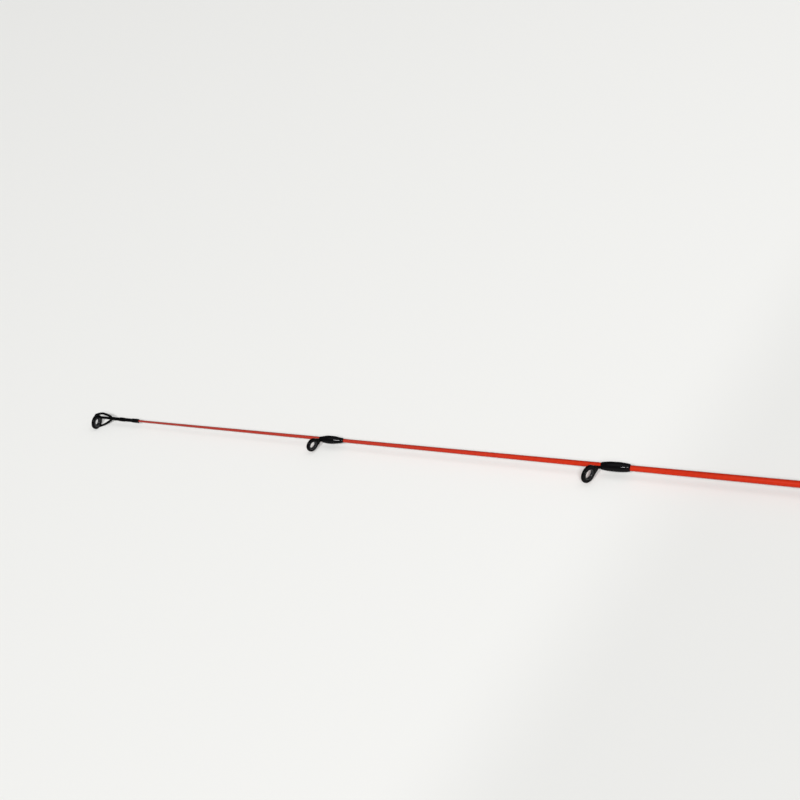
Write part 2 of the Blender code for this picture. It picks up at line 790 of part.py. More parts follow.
def build_grips():
    cap_radius = butt_cap_width / 2
    face_radius = butt_face_width / 2
    edge = cap_radius - face_radius
    outline = [(0.0, 0.0), (0.0, face_radius)]
    for index in range(1, 5):
        angle = math.pi / 2 * index / 4
        outline.append((edge * (1 - math.cos(angle)), face_radius + edge * math.sin(angle)))
    outline += [(butt_cap_length - 0.6 * MM, rear_grip_end_width / 2 + 0.2 * MM)]
    outline += [(butt_cap_length, rear_grip_end_width / 2 - 0.2 * MM)]
    socket = blank_radius(tip_ring_reach - butt_cap_length) + running_fit
    socket_end = butt_cap_length - blank_seat_depth
    outline += [(butt_cap_length, socket), (socket_end, socket + 0.05 * MM), (socket_end, 0.0)]
    piece("butt_cap", turned(outline, grip_sides), black_rubber)

    trim_ring("butt_trim_ring", butt_ring_start, rear_grip_end_width / 2)
    half = 0.5
    sleeve("rear_grip", cork, rear_grip_start, through([
        (0.0, half * rear_grip_end_width),
        (0.2 * rear_grip_length, half * rear_grip_swell_width),
        (0.65 * rear_grip_length, half * rear_grip_waist_width),
        (rear_grip_length, half * rear_grip_front_width),
    ], 2))
    trim_ring("seat_trim_ring", seat_ring_start, rear_grip_front_width / 2)
    sleeve("foregrip", cork, foregrip_start, through([
        (0.0, half * foregrip_rear_width - 0.8 * MM),
        (0.04 * foregrip_length, half * foregrip_rear_width),
        (0.35 * foregrip_length, half * foregrip_rear_width * 0.97),
        (foregrip_length, half * foregrip_front_width),
    ], 2))
    front = blank_radius(tip_ring_reach - check_start - check_length) + 0.7 * MM
    sleeve("winding_check", pale_metal, check_start, [
        (0.0, half * foregrip_front_width), (0.35 * check_length, half * foregrip_front_width),
        (0.75 * check_length, front + 0.6 * MM), (check_length, front),
    ])
    for name, start in (
        ("rear_arbor", seat_start + arbor_inset),
        ("front_arbor", seat_start + seat_length - arbor_inset - arbor_length),
    ):
        outer = seat_bore / 2 - slip_fit
        sleeve(name, arbor_foam, start, [(0.0, outer), (arbor_length, outer)])


# Reel seat with its moving hood and lock nut

def seat_section(x, half_width, depth, top, corner):
    """Round below the rod's axis, and above it straight sides with rounded upper corners."""
    points = []
    for index in range(1, 16):
        angle = math.pi + math.pi * index / 16
        points.append((x, depth * math.sin(angle), half_width * math.cos(angle)))
    for index in range(5):
        angle = math.pi / 2 * index / 5
        points.append((
            x, top - corner + corner * math.sin(angle), half_width - corner + corner * math.cos(angle),
        ))
    points.append((x, top, 0.0))
    for index in range(1, 6):
        angle = math.pi / 2 + math.pi / 2 * index / 5
        points.append((
            x, top - corner + corner * math.sin(angle), corner - half_width + corner * math.cos(angle),
        ))
    return points


def pocket(low, high):
    """The room for one end of a reel's foot, with its upper corners cut off."""
    half = pocket_width / 2
    outline = [
        (bed_height, -half), (bed_height + 0.7 * pocket_height, -half),
        (bed_height + pocket_height, -0.75 * half), (bed_height + pocket_height, 0.75 * half),
        (bed_height + 0.7 * pocket_height, half), (bed_height, half),
    ]
    return loft([[(x, y, z) for y, z in outline] for x in (low, high)])


def build_reel_seat():
    rear = seat_width / 2
    barrel = barrel_width / 2
    bed = bed_width / 2
    roof = bed_height + pocket_height + hood_roof
    bed_end = mouth + bed_length
    sizes = through([
        (0.0, rear, rear, rear, rear),
        (0.25 * mouth, rear, rear, rear, rear),
        (0.75 * mouth, rear - 0.2 * MM, rear - 0.3 * MM, roof - 0.3 * MM, 0.5 * rear),
        (mouth, bed + 0.4 * MM, rear - 0.8 * MM, roof, 0.42 * rear),
        (mouth + 0.45 * bed_length, bed, barrel - 0.8 * MM, roof, 0.42 * rear),
        (bed_end - 8 * MM, bed, barrel - 0.5 * MM, roof - 1.2 * MM, 0.55 * rear),
        (bed_end - 2 * MM, barrel, barrel, barrel, barrel),
    ], 2)
    body = loft([seat_section(*size) for size in sizes] + [
        seat_section(seat_length, barrel, barrel, barrel, barrel),
    ])
    seat = piece("reel_seat", body, black_seat, seat_start)

    # The trigger sweeps forward from under the fixed hood, and its tip is rounded
    sections = []
    root_y = -0.5 * seat_bore - 1.5 * MM
    steps = 9
    for index in range(steps + 1):
        share = index / steps
        x = trigger_place + trigger_sweep * share**2
        y = root_y - (trigger_drop + root_y) * share
        slope = math.atan2(2 * trigger_sweep * share, trigger_drop - 0.5 * seat_bore)
        fade = math.sqrt(max(1 - max((share - 0.8) / 0.21, 0.0) ** 2, 0.0))
        taper = (1 - share) ** 2.2
        length = trigger_tip_length * (1 - taper) + trigger_root_length * taper
        width = trigger_tip_width * (1 - taper) + trigger_root_width * taper
        sections.append([
            (
                x + 0.5 * length * fade * math.cos(angle) * math.cos(slope),
                y + 0.5 * length * fade * math.cos(angle) * math.sin(slope),
                0.5 * width * fade * math.sin(angle),
            )
            for angle in [math.tau * point / 14 for point in range(14)]
        ])
    unite(seat, loft(sections))

    cut(seat, block(
        (mouth, bed_height, -seat_width), (seat_length + overrun, 2 * roof, seat_width),
    ))
    cut(seat, pocket(mouth - pocket_depth, mouth + overrun))
    bore = seat_bore / 2
    cut(seat, turned([
        (-overrun, 0.0), (-overrun, bore), (seat_length + overrun, bore), (seat_length + overrun, 0.0),
    ], grip_sides))


def build_moving_hood():
    roof = bed_height + pocket_height + hood_roof
    liner_bore = barrel_width / 2 + thread_height + running_fit
    liner_radius = liner_bore + liner_wall
    shell_bore = liner_radius + slip_fit
    shell = shell_bore + hood_wall
    start = moving_hood_start

    liner = piece("hood_liner", turned([
        (start, 0.0), (start, liner_radius), (hood_end, liner_radius), (hood_end, 0.0),
    ], liner_sides), black_seat, seat_start)
    # The bore follows the barrel and its flat, so the liner slides and cannot turn
    key_angle = math.acos((bed_height + running_fit) / liner_bore)
    sweep = math.tau - 2 * key_angle
    cut(liner, loft([
        [
            (x, liner_bore * math.cos(angle), liner_bore * math.sin(angle))
            for angle in [key_angle + sweep * step / 32 for step in range(33)]
        ]
        for x in (start - overrun, hood_end + overrun)
    ]))
    cut(liner, block(
        (start - overrun, bed_height, -2 * barrel_width),
        (pocket_bottom - 0.01 * MM, 2 * roof, 2 * barrel_width),
    ))

    hood = piece("moving_hood", loft([
        seat_section(start, shell, shell, roof, 0.62 * shell),
        seat_section(start + 0.75 * pocket_depth, shell, shell, roof, 0.62 * shell),
        seat_section(
            pocket_bottom + 0.1 * hood_ring_length, shell, shell, roof - 0.5 * MM, 0.66 * shell,
        ),
        seat_section(
            pocket_bottom + 0.65 * hood_ring_length, shell, shell, shell + 0.8 * MM, 0.9 * shell,
        ),
        seat_section(hood_end, shell, shell, shell, shell),
    ]), dark_metal, seat_start)
    cut(hood, turned([
        (start - overrun, 0.0), (start - overrun, shell_bore),
        (hood_end + overrun, shell_bore), (hood_end + overrun, 0.0),
    ], liner_sides))
    cut(hood, pocket(start - overrun, pocket_bottom))


def build_lock_nut():
    """A ribbed ring with a plain collar at each end."""
    outer = nut_width / 2
    valley = outer - nut_rib_depth
    bore = barrel_width / 2 + thread_height + running_fit
    sides = 2 * nut_ribs

    def section(x, crest, trough):
        points = []
        for index in range(sides):
            angle = math.tau * index / sides
            radius = crest if index % 2 == 0 else trough
            points.append((x, radius * math.cos(angle), radius * math.sin(angle)))
        return points

    start = nut_start
    end = nut_start + nut_length
    piece("lock_nut", loft([
        section(start, valley, valley),
        section(start + 1.8 * MM, valley, valley),
        section(start + 2.3 * MM, outer, valley),
        section(end - 2.3 * MM, outer, valley),
        section(end - 1.8 * MM, valley, valley),
        section(end, valley, valley),
        section(end, bore, bore),
        section(start, bore, bore),
    ], closed=True), black_seat, seat_start, 15)


build_blanks()
build_tip_top()
for guide_index, guide_size in enumerate(running_guides):
    build_running_guide(guide_index + 1, guide_size)
build_stripper_guide()
build_keeper()
build_grips()
build_reel_seat()
build_moving_hood()
build_lock_nut()
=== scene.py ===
# A baitcasting trout rod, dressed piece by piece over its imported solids.

import math

import bmesh
import bpy
import numpy as np
from mathutils import Matrix, Vector, noise


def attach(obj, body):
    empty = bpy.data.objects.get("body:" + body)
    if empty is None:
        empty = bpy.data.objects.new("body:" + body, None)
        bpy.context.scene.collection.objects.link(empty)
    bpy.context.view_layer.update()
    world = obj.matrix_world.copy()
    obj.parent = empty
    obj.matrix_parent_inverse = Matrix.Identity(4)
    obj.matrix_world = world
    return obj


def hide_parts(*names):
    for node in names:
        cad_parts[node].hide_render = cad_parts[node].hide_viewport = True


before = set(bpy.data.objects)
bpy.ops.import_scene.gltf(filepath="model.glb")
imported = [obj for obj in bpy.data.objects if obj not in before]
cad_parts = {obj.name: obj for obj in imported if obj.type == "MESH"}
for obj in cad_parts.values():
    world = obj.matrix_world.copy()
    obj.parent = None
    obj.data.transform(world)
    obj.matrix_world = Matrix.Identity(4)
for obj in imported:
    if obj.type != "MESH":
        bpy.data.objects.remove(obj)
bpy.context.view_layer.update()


# The blank: red-orange glass cloth rolled on a steel mandrel, baked, ground to one straight taper and
# varnished. The last third of the tip section is solid glass, glued into the hollow tip blank. The
# tip blank swells where it slides over the end of the butt blank.
mm = 0.001
tip_ring_reach = 1418 * mm
blank_wall = 0.8 * mm
ferrule_mouth = 685 * mm
fit_gap = 0.05 * mm
swell_start = 558 * mm
swell_length = 130 * mm


def eased(share):
    return share * share * (3 - 2 * share)


def ramp(value, start, end):
    """0 before the start, 1 after the end and even between them."""
    return min(max((value - start) / (end - start), 0.0), 1.0)


def blank_radius(x):
    """Radius of the plain taper at a place along the rod."""
    return (0.68 * mm + 0.0071 * (tip_ring_reach - x)) / 2


def tip_blank_radius(x):
    """The tip blank's radius, with its swell in front of the ferrule."""
    share = ramp(tip_ring_reach - x, swell_start, swell_start + swell_length)
    return blank_radius(x) + (blank_wall + fit_gap) * eased(share)


def spaced(span, steps, start=0.0):
    """Even steps over a span, with both ends."""
    return [start + span * step / steps for step in range(steps + 1)]


def full_turn(sides):
    return spaced(math.tau, sides)[:-1]


def around(x, radius, turn):
    """The point at this turn round the rod's axis."""
    return x, radius * math.cos(turn), radius * math.sin(turn)


def turned(outline, sides):
    """Turn a closed outline of (x, radius) points about the rod's axis."""
    shape = bmesh.new()
    rings = [
        [shape.verts.new(around(x, radius, turn)) for turn in (full_turn(sides) if radius > 0 else [0.0])]
        for x, radius in outline
    ]
    pairs = list(zip(rings, rings[1:]))
    if len(rings[0]) > 1:
        pairs.append((rings[-1], rings[0]))
    for near, far in pairs:
        for step in range(sides):
            after = (step + 1) % sides
            corners = [near[step % len(near)], near[after % len(near)]]
            corners += [far[after % len(far)], far[step % len(far)]]
            shape.faces.new(dict.fromkeys(corners))
    return shape


def new_body(name, shape, sharp=40):
    """Turn a bmesh into an object at the origin, smooth but for its sharp edges."""
    bmesh.ops.remove_doubles(shape, verts=shape.verts, dist=0.0002 * mm)
    bmesh.ops.recalc_face_normals(shape, faces=shape.faces)
    mesh = bpy.data.meshes.new(name)
    shape.to_mesh(mesh)
    shape.free()
    mesh.shade_smooth()
    mesh.set_sharp_from_angle(angle=math.radians(sharp))
    made = bpy.data.objects.new(name, mesh)
    bpy.context.scene.collection.objects.link(made)
    return made


def fit_on(made, material, body, slot, *nodes):
    """Give a piece its finish and its place on the rod."""
    made.data.materials.clear()
    made.data.materials.append(material)
    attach(made, body)
    if nodes:
        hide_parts(*nodes)
    return made


class Tone:
    """What one shader node puts out: a value, colour or point that changes over a surface."""

    def __init__(self, socket):
        self.socket = socket
        self.tree = socket.id_data

    def step(self, operation, *others):
        """A step of arithmetic on this value."""
        return shader(self.tree, "Math", 0, dict(enumerate((self,) + others)), operation=operation)

    def __add__(self, other):
        return self.step("ADD", other)

    def __sub__(self, other):
        return self.step("SUBTRACT", other)

    def __rsub__(self, other):
        return shader(self.tree, "Math", 0, {0: other, 1: self}, operation="SUBTRACT")

    def __mul__(self, other):
        return self.step("MULTIPLY", other)

    def __truediv__(self, other):
        return self.step("DIVIDE", other)

    def kept(self):
        """The same sum, kept between 0 and 1."""
        self.socket.node.use_clamp = True
        return self


def fill(node, inputs):
    """Set a shader node's inputs: numbers, colours or the tones of other nodes."""
    for name, value in inputs.items():
        if isinstance(value, Tone):
            node.id_data.links.new(value.socket, node.inputs[name])
        else:
            node.inputs[name].default_value = value
    return node


def shader(tree, kind, output, inputs=None, **settings):
    """Add a node to a tree and give back one of its outputs."""
    node = tree.nodes.new("ShaderNode" + kind)
    for name, value in settings.items():
        setattr(node, name, value)
    return Tone(fill(node, inputs or {}).outputs[output])


def tint(mask, low, high):
    """From one colour to another as the mask goes from 0 to 1."""
    return shader(mask.tree, "Mix", 2, {0: mask, 6: low, 7: high}, data_type="RGBA", clamp_factor=True)


def stretch(point, along, across):
    """Points for a texture that is longer along the rod than across it."""
    return shader(
        point.tree, "VectorMath", 0, {0: point, 1: (along, across, across)}, operation="MULTIPLY",
    )


def grain(point, scale, detail=3.0, roughness=0.5):
    return shader(point.tree, "TexNoise", "Fac", {
        "Vector": point, "Scale": scale, "Detail": detail, "Roughness": roughness,
    })


def relief(height, depth):
    """A bump whose height of 1 stands up by the given depth."""
    return shader(height.tree, "Bump", "Normal", {"Height": height, "Distance": depth})


def new_effect(name, inputs, outputs):
    """Start an effect that several finishes use."""
    tree = bpy.data.node_groups.new(name, "ShaderNodeTree")
    for way, sockets in (("INPUT", inputs), ("OUTPUT", outputs)):
        for label, kind in sockets.items():
            tree.interface.new_socket(label, in_out=way, socket_type="NodeSocket" + kind)
    given = tree.nodes.new("NodeGroupInput")
    return tree, {label: Tone(given.outputs[label]) for label in inputs}, tree.nodes.new("NodeGroupOutput")


def effect(tree, group, inputs=None):
    node = tree.nodes.new("ShaderNodeGroup")
    node.node_tree = group
    return {socket.name: Tone(socket) for socket in fill(node, inputs or {}).outputs}


def new_finish(name, **sockets):
    """A Principled material with its fixed values set on its own sockets."""
    made = bpy.data.materials.new(name)
    made.use_nodes = True
    surface = made.node_tree.nodes["Principled BSDF"]
    for label, value in sockets.items():
        surface.inputs[label.replace("_", " ").title().replace("Ior", "IOR")].default_value = value
    return made, made.node_tree, surface


# Where a point lies on the rod, in millimetres: how far along, how far round and the point itself
rod_place, given, result = new_effect(
    "rod place", {}, {"Along": "Float", "Round": "Float", "Point": "Vector"},
)
spot = shader(rod_place, "VectorMath", 0, {
    0: shader(rod_place, "TexCoord", "Object"), "Scale": 1 / mm,
}, operation="SCALE")
along, up, aside = [shader(rod_place, "SeparateXYZ", axis, {0: spot}) for axis in "XYZ"]
fill(result, {"Along": along, "Round": aside.step("ARCTAN2", up) / math.tau, "Point": spot})

# Brushed varnish: long soft waves and a few specks of dust that settled while it was wet
varnish_flow, given, result = new_effect("varnish flow", {"Point": "Vector"}, {"Height": "Float"})
waves = grain(stretch(given["Point"], 0.35, 0.8), 1.0, 1.0)
dust = shader(varnish_flow, "TexVoronoi", "Distance", {"Vector": given["Point"], "Scale": 0.42})
fill(result, {"Height": waves + ((0.06 - dust) * 16.0).kept() * 0.6})

orange_glass, tree, surface = new_finish(
    "orange glass", roughness=0.3, specular_ior_level=0.05, coat_weight=0.12, coat_roughness=0.12,
)
on_rod = effect(tree, rod_place)
varnish = effect(tree, varnish_flow, {"Point": on_rod["Point"]})
fibres = grain(stretch(on_rod["Point"], 0.05, 4.0), 1.0, 4.0, 0.6)
cloudy = grain(stretch(on_rod["Point"], 0.03, 0.3), 1.0, 2.0)
# The tape that pressed the cloth while it was baked left a faint spiral
tape_width = 2.6
spiral = ((on_rod["Along"] / tape_width + on_rod["Round"]) * math.tau).step("SINE")
depth = fibres * 0.7 + (cloudy * 0.5 + spiral * 0.04)
glass = tint((depth * 1.6 - 0.45).kept(), (0.35, 0.012, 0.002, 1), (0.51, 0.026, 0.005, 1))
# The solid end is darker and duller than the hollow glass, from here on in millimetres
dull_start = 1225.0
dull_length = 175.0
toward_tip = ((on_rod["Along"] - dull_start) / dull_length).kept()
fill(surface, {
    "Base Color": tint(toward_tip, glass, (0.28, 0.036, 0.026, 1)),
    "Roughness": cloudy * 0.16 + 0.22,
    "Normal": relief(varnish["Height"] * 0.7 + (spiral * 0.12 + fibres * 0.25), 0.018 * mm),
})


def tube_outline(radius_at, low, high, rows):
    """A tube's outline with slightly broken edges."""
    edge = 0.08 * mm
    places = spaced(high - low - 2 * edge, rows, low + edge)
    outline = [(low, radius_at(low) - edge)] + [(x, radius_at(x)) for x in places]
    outline += [(high, radius_at(high) - edge)]
    return outline + [(x, radius_at(x) - blank_wall) for x in [high] + places[::-1] + [low]]


splice_x = 1087 * mm
spigot_x = 1062 * mm
solid_end_x = 1410.95 * mm
butt_blank_start = 6.3 * mm
butt_blank_end = 730 * mm
spigot_radius = blank_radius(splice_x) - blank_wall - fit_gap
shoulder_x = splice_x + 0.05 * mm
solid_outline = [(spigot_x, 0.0), (spigot_x, spigot_radius), (shoulder_x, spigot_radius)]
solid_outline.append((shoulder_x, blank_radius(splice_x) - 0.06 * mm))
for x in spaced(solid_end_x - splice_x - 0.2 * mm, 60, splice_x + 0.12 * mm):
    solid_outline.append((x, blank_radius(x)))
solid_outline.append((solid_end_x, 0.0))
for node, body, outline, sides in (
    ("solid_tip", "tip_section", solid_outline, 40),
    ("tip_blank", "tip_section", tube_outline(tip_blank_radius, ferrule_mouth, splice_x, 70), 48),
    ("butt_blank", "butt_section", tube_outline(blank_radius, butt_blank_start, butt_blank_end, 90), 56),
):
    fit_on(new_body(node + "_glass", turned(outline, sides)), orange_glass, body, "orange_blank", node)


# Windings: fine black nylon thread laid turn beside turn over the blank and the guides' feet, then
# flooded with clear two-part varnish that is fullest next to the guide and thins out to a lip.
thread_turns, given, result = new_effect(
    "thread turns", {"Along": "Float", "Round": "Float", "Pitch": "Float"},
    {"Height": "Float", "Turn Shade": "Float"},
)
lay = given["Along"] / given["Pitch"] + given["Round"]
fill(result, {
    "Height": (lay * math.pi).step("SINE").step("ABSOLUTE"),
    "Turn Shade": shader(
        thread_turns, "TexWhiteNoise", "Value", {"W": lay.step("FLOOR")}, noise_dimensions="1D",
    ),
})

strand_pitch = 0.17
black_winding, tree, surface = new_finish(
    "black winding", roughness=0.3, specular_ior_level=0.0, coat_weight=0.18, coat_roughness=0.05,
)
on_rod = effect(tree, rod_place)
threads = effect(tree, thread_turns, {
    "Along": on_rod["Along"], "Round": on_rod["Round"], "Pitch": strand_pitch,
})
varnish = effect(tree, varnish_flow, {"Point": on_rod["Point"]})
fill(surface, {
    "Base Color": tint(
        threads["Height"] * (threads["Turn Shade"] * 0.6 + 0.4),
        (0.0012, 0.0012, 0.0013, 1), (0.0042, 0.0041, 0.0045, 1),
    ),
    "Roughness": threads["Turn Shade"] * 0.12 + 0.28,
    "Normal": relief(threads["Height"] * 0.25 + varnish["Height"], 0.014 * mm),
})


def varnish_lip(distance, length, lip):
    """The varnish rises in a quarter circle from either end of a winding."""
    share = min(min(distance, length - distance) / lip, 1.0)
    return math.sqrt(max(1 - (1 - share) ** 2, 0.0))


def winding_rows(length, lip):
    """Places along a winding, close together in its two lips."""
    ends = [lip * (1 - math.cos(turn)) for turn in spaced(math.pi / 2, 5)[:-1]]
    return ends + spaced(length - 2 * lip, 22, lip) + [length - place for place in reversed(ends)]


def skinned(sections, closed=False):
    """A skin over sections with the same number of points, capped at its ends or closed on itself."""
    shape = bmesh.new()
    rows = [[shape.verts.new(point) for point in section] for section in sections]
    for near, far in zip(rows, rows[1:] + (rows[:1] if closed else [])):
        for index in range(len(near)):
            after = (index + 1) % len(near)
            shape.faces.new((near[index], near[after], far[after], far[index]))
    if not closed:
        shape.faces.new(reversed(rows[0]))
        shape.faces.new(rows[-1])
    return shape


def oval(x, top, bottom, side, sides):
    """A section across the rod whose top, bottom and sides stand at their own heights."""
    return [
        (x, (top + bottom) / 2 * math.cos(turn) + (top - bottom) / 2, side * math.sin(turn))
        for turn in full_turn(sides)
    ]


# Every foot is ground down to this at its end
foot_tip = 0.2 * mm


def winding(name, body, node, start, length, direction, radius_at, covers, foot):
    """A winding over a foot, fullest near its middle.

    covers are its depth behind the blank, its depth over the foot and its slimness: 0.6 is full
    almost to its ends, and more is full in the middle only.
    """
    back_cover, foot_cover, slimness = covers
    bend, foot_end, foot_height = foot
    lip = 0.8 * mm
    front_share = 0.3 - 0.08 * slimness
    rear_share = 0.35
    shift = 1.3 - 0.25 * slimness
    sections = []
    for distance in winding_rows(length, lip):
        share = min(distance / length, 1.0)
        edge = front_share * (1 - share) + rear_share * share
        rise = varnish_lip(distance, length, lip)
        fullness = (edge + (1 - edge) * math.sin(math.pi * share**shift) ** slimness) * rise
        x = start + direction * distance
        over_foot = 0.05 * mm + foot_height + (foot_tip - foot_height) * ramp(x, bend, foot_end)
        over_foot *= 1 - eased(ramp(x, foot_end, start + direction * length))
        radius = radius_at(x) - 0.02 * mm
        sag = 1 + 0.03 * math.sin(1.7 * distance / mm + 5000 * start)
        side = radius + back_cover * fullness * sag
        top = radius + over_foot * (0.3 + 0.7 * rise) + foot_cover * fullness * (1.15 - 0.5 * share)
        sections.append(oval(x, top, side, side, 40))
    fit_on(new_body(name, skinned(sections), 60), black_winding, body, "black_winding", node)


def round_winding(name, node, start, length, lip, radius_at, seat, cover, form, sides):
    """A winding on a plain round part of the tip section.

    seat is how far it goes in and stands out at its lip. form is its lip's share of the cover, how
    far its fullest place leans to its start, and its slimness.
    """
    inside, outside = seat
    lip_share, lean, slimness = form
    outline = []
    for distance in winding_rows(length, lip):
        swell = math.sin(math.pi * (distance / length) ** lean) ** slimness
        fullness = (lip_share + (1 - lip_share) * swell) * varnish_lip(distance, length, lip)
        outline.append((start + distance, radius_at(start + distance) + outside + cover * fullness))
    outline += [(x, radius_at(x) - inside) for x in (start + length, start)]
    fit_on(new_body(name, turned(outline, sides)), black_winding, "tip_section", "black_winding", node)


# The winding that keeps the open end of the ferrule from splitting
round_winding(
    "ferrule_thread", "ferrule_winding", ferrule_mouth, 22 * mm, 0.5 * mm, tip_blank_radius,
    (0.06 * mm, 0.03 * mm), 0.35 * mm, (0.35, 1.0, 0.6), 56,
)


# Line guides with one foot: a ring stamped from spring steel in one piece with a pear-shaped leg,
# which bends back into a foot under the winding. The steel is coated gloss black, and a polished
# grey ceramic ring is pressed into it.
rub_marks, given, result = new_effect(
    "rub marks", {"Point": "Vector", "Edge": "Float", "Amount": "Float"},
    {"Worn": "Float", "Scratches": "Float"},
)
patches = grain(given["Point"], 0.9, 5.0, 0.6)
worn = given["Edge"] * given["Amount"] + (patches * 1.6 - 1.35)
lines = grain(stretch(given["Point"], 0.5, 5.0), 1.0, 2.0, 0.7)
fill(result, {"Worn": (worn * 3.0).kept(), "Scratches": ((lines - 0.62) * 9.0).kept()})


def marks_on(tree, point, amount):
    """Wear along the edges that mark_edges stores, and scratches."""
    edge = shader(tree, "Attribute", "Fac", attribute_name="edge")
    return effect(tree, rub_marks, {"Point": point, "Edge": edge, "Amount": amount})


def store(mesh, name, values):
    """Keep a value at each point of a mesh, for its finish to look up."""
    mesh.attributes.new(name, "FLOAT", "POINT").data.foreach_set("value", values)


def mark_edges(made, sharpest, rounds=2):
    """Store how far each point stands out as an edge, for the wear. sharpest is in 1/mm."""
    mesh = made.data
    count = len(mesh.vertices)
    points = np.empty(count * 3, np.float64)
    normals = np.empty(count * 3, np.float32)
    ends = np.empty(len(mesh.edges) * 2, np.int64)
    mesh.vertices.foreach_get("co", points)
    mesh.vertices.foreach_get("normal", normals)
    mesh.edges.foreach_get("vertices", ends)
    points = points.reshape(-1, 3) / mm
    normals = normals.reshape(-1, 3)
    ends = ends.reshape(-1, 2)
    both = np.concatenate([ends, ends[:, ::-1]])
    step = points[both[:, 1]] - points[both[:, 0]]
    lengths = (step**2).sum(1) + 1e-9
    bend = -2 * (step * normals[both[:, 0]]).sum(1) / lengths
    weight = np.sqrt(lengths)
    total = np.maximum(np.bincount(both[:, 0], weight, count), 1e-9)
    edge = np.clip(np.bincount(both[:, 0], bend * weight, count) / total / sharpest, 0, 1)
    for _ in range(rounds):
        spread = np.bincount(both[:, 0], edge[both[:, 1]], count)
        shares = np.maximum(np.bincount(both[:, 0], minlength=count), 1)
        edge = (edge + spread / shares) / 2
    store(mesh, "edge", edge.astype(np.float32))


black_steel, tree, surface = new_finish(
    "black steel", roughness=0.2, specular_ior_level=0.02, coat_weight=0.07, coat_roughness=0.06,
)
on_rod = effect(tree, rod_place)
marks = marks_on(tree, on_rod["Point"], 0.42)
skin = grain(on_rod["Point"], 3.0)
fill(surface, {
    "Base Color": tint(marks["Worn"] * 0.5, (0.0015, 0.0015, 0.0017, 1), (0.08, 0.08, 0.084, 1)),
    "Metallic": marks["Worn"] * 0.8,
    "Roughness": skin * 0.16 + (marks["Scratches"] * 0.15 + 0.1),
    "Normal": relief(skin - marks["Scratches"], 0.004 * mm),
})

grey_ceramic, tree, surface = new_finish(
    "grey ceramic", roughness=0.08, specular_ior_level=0.2, coat_weight=0.08, coat_roughness=0.02,
)
on_rod = effect(tree, rod_place)
crystals = grain(on_rod["Point"], 9.0, 2.0)
fill(surface, {
    "Base Color": tint(crystals, (0.004, 0.004, 0.005, 1), (0.013, 0.013, 0.015, 1)),
    "Roughness": grain(on_rod["Point"], 0.6, 2.0) * 0.12 + 0.03,
    "Normal": relief(crystals, 0.0015 * mm),
})


def apply_all(made):
    """Turn a piece and its modifiers into a plain mesh."""
    bpy.context.view_layer.update()
    graph = bpy.context.evaluated_depsgraph_get()
    mesh = bpy.data.meshes.new_from_object(made.evaluated_get(graph))
    made.modifiers.clear()
    made.data = mesh
    return made


def joined(made, shapes, operation):
    """Unite a piece with shapes, or cut them out of it."""
    for shape in shapes:
        tool = new_body("tool", shape)
        step = made.modifiers.new(operation, "BOOLEAN")
        step.object = tool
        step.operation = operation
        step.solver = "EXACT"
        step.use_self = operation == "UNION"
        apply_all(made)
        bpy.data.objects.remove(tool)
    return made


def softened(made, grid, rounds, keep):
    """Fill every inner corner and round every edge, as pressing, tumbling and coating do."""
    step = made.modifiers.new("grid", "REMESH")
    step.mode = "VOXEL"
    step.voxel_size = grid
    step = made.modifiers.new("soften", "SMOOTH")
    step.factor = 0.5
    step.iterations = rounds
    step = made.modifiers.new("lighten", "DECIMATE")
    step.ratio = keep
    apply_all(made)
    made.data.shade_smooth()
    return made


def ring_stand(place, rise, lean):
    """A ring made about the X axis stands on the rod with its top towards the tip."""
    return Matrix.Translation((place, rise, 0)) @ Matrix.Rotation(-lean, 4, "Z")


def placed(shape, matrix):
    bmesh.ops.transform(shape, matrix=matrix, verts=shape.verts)
    return shape


def rounded_band(radius, bore, thickness, round_over, sides):
    """A flat ring with rounded outer edges."""
    half = thickness / 2
    rim = [
        (-half + round_over * (1 - math.sin(turn)), radius - round_over * (1 - math.cos(turn)))
        for turn in spaced(math.pi / 2, 5)
    ]
    return turned([(-half, bore)] + rim[::-1] + [(-x, r) for x, r in rim] + [(half, bore)], sides)


def plug(low, high, radius, sides):
    """A round plug along the axis, for boring."""
    return turned([(low, 0.0), (low, radius), (high, radius), (high, 0.0)], sides)


def line_guide(label, body, shapes, stand, ring, bore, coat):
    """Join a guide's steel, bore it, coat it and press its ceramic ring in.

    ring is the seat's radius, the hole's radius and the ceramic's thickness. bore is how far the cutter
    reaches and its sides. coat is the grid of the rounding, how much of it stays and what is sharp.
    """
    seat_radius, hole_radius, thickness = ring
    reach, sides = bore
    grid, keep, sharpest = coat
    steel = joined(new_body(label + "_steel", shapes[0]), shapes[1:], "UNION")
    joined(steel, [placed(plug(-reach, reach, seat_radius, sides), stand)], "DIFFERENCE")
    softened(steel, grid, 4, keep)
    mark_edges(steel, sharpest)
    fit_on(steel, black_steel, body, "black_frame", label + "_frame")
    # The ceramic ring has a fully rounded bore
    half = thickness / 2
    outer = seat_radius - 0.02 * mm
    middle = hole_radius + half * 0.95
    outline = [(0.85 * half, outer), (-0.85 * half, outer)]
    for turn in spaced(math.pi, 14):
        outline.append((-half * math.cos(turn), middle - (middle - hole_radius) * math.sin(turn)))
    ceramic = new_body(label + "_ceramic", placed(turned(outline, 64), stand), 60)
    fit_on(ceramic, grey_ceramic, body, "ring_ceramic", label + "_ring")


def smooth_run(points, steps=8):
    """A smooth run through a few points, which may hold sizes besides a place."""
    points = [Vector(point) for point in points]
    run = []
    for before, start, end, after in zip(
        points[:1] + points, points, points[1:], points[2:] + points[-1:],
    ):
        for t in spaced(1, steps)[:-1]:
            run.append(
                start * (2 * t**3 - 3 * t**2 + 1) + (end - before) / 2 * (t**3 - 2 * t**2 + t)
                + end * (3 * t**2 - 2 * t**3) + (after - start) / 2 * (t**3 - t**2)
            )
    return run + points[-1:]


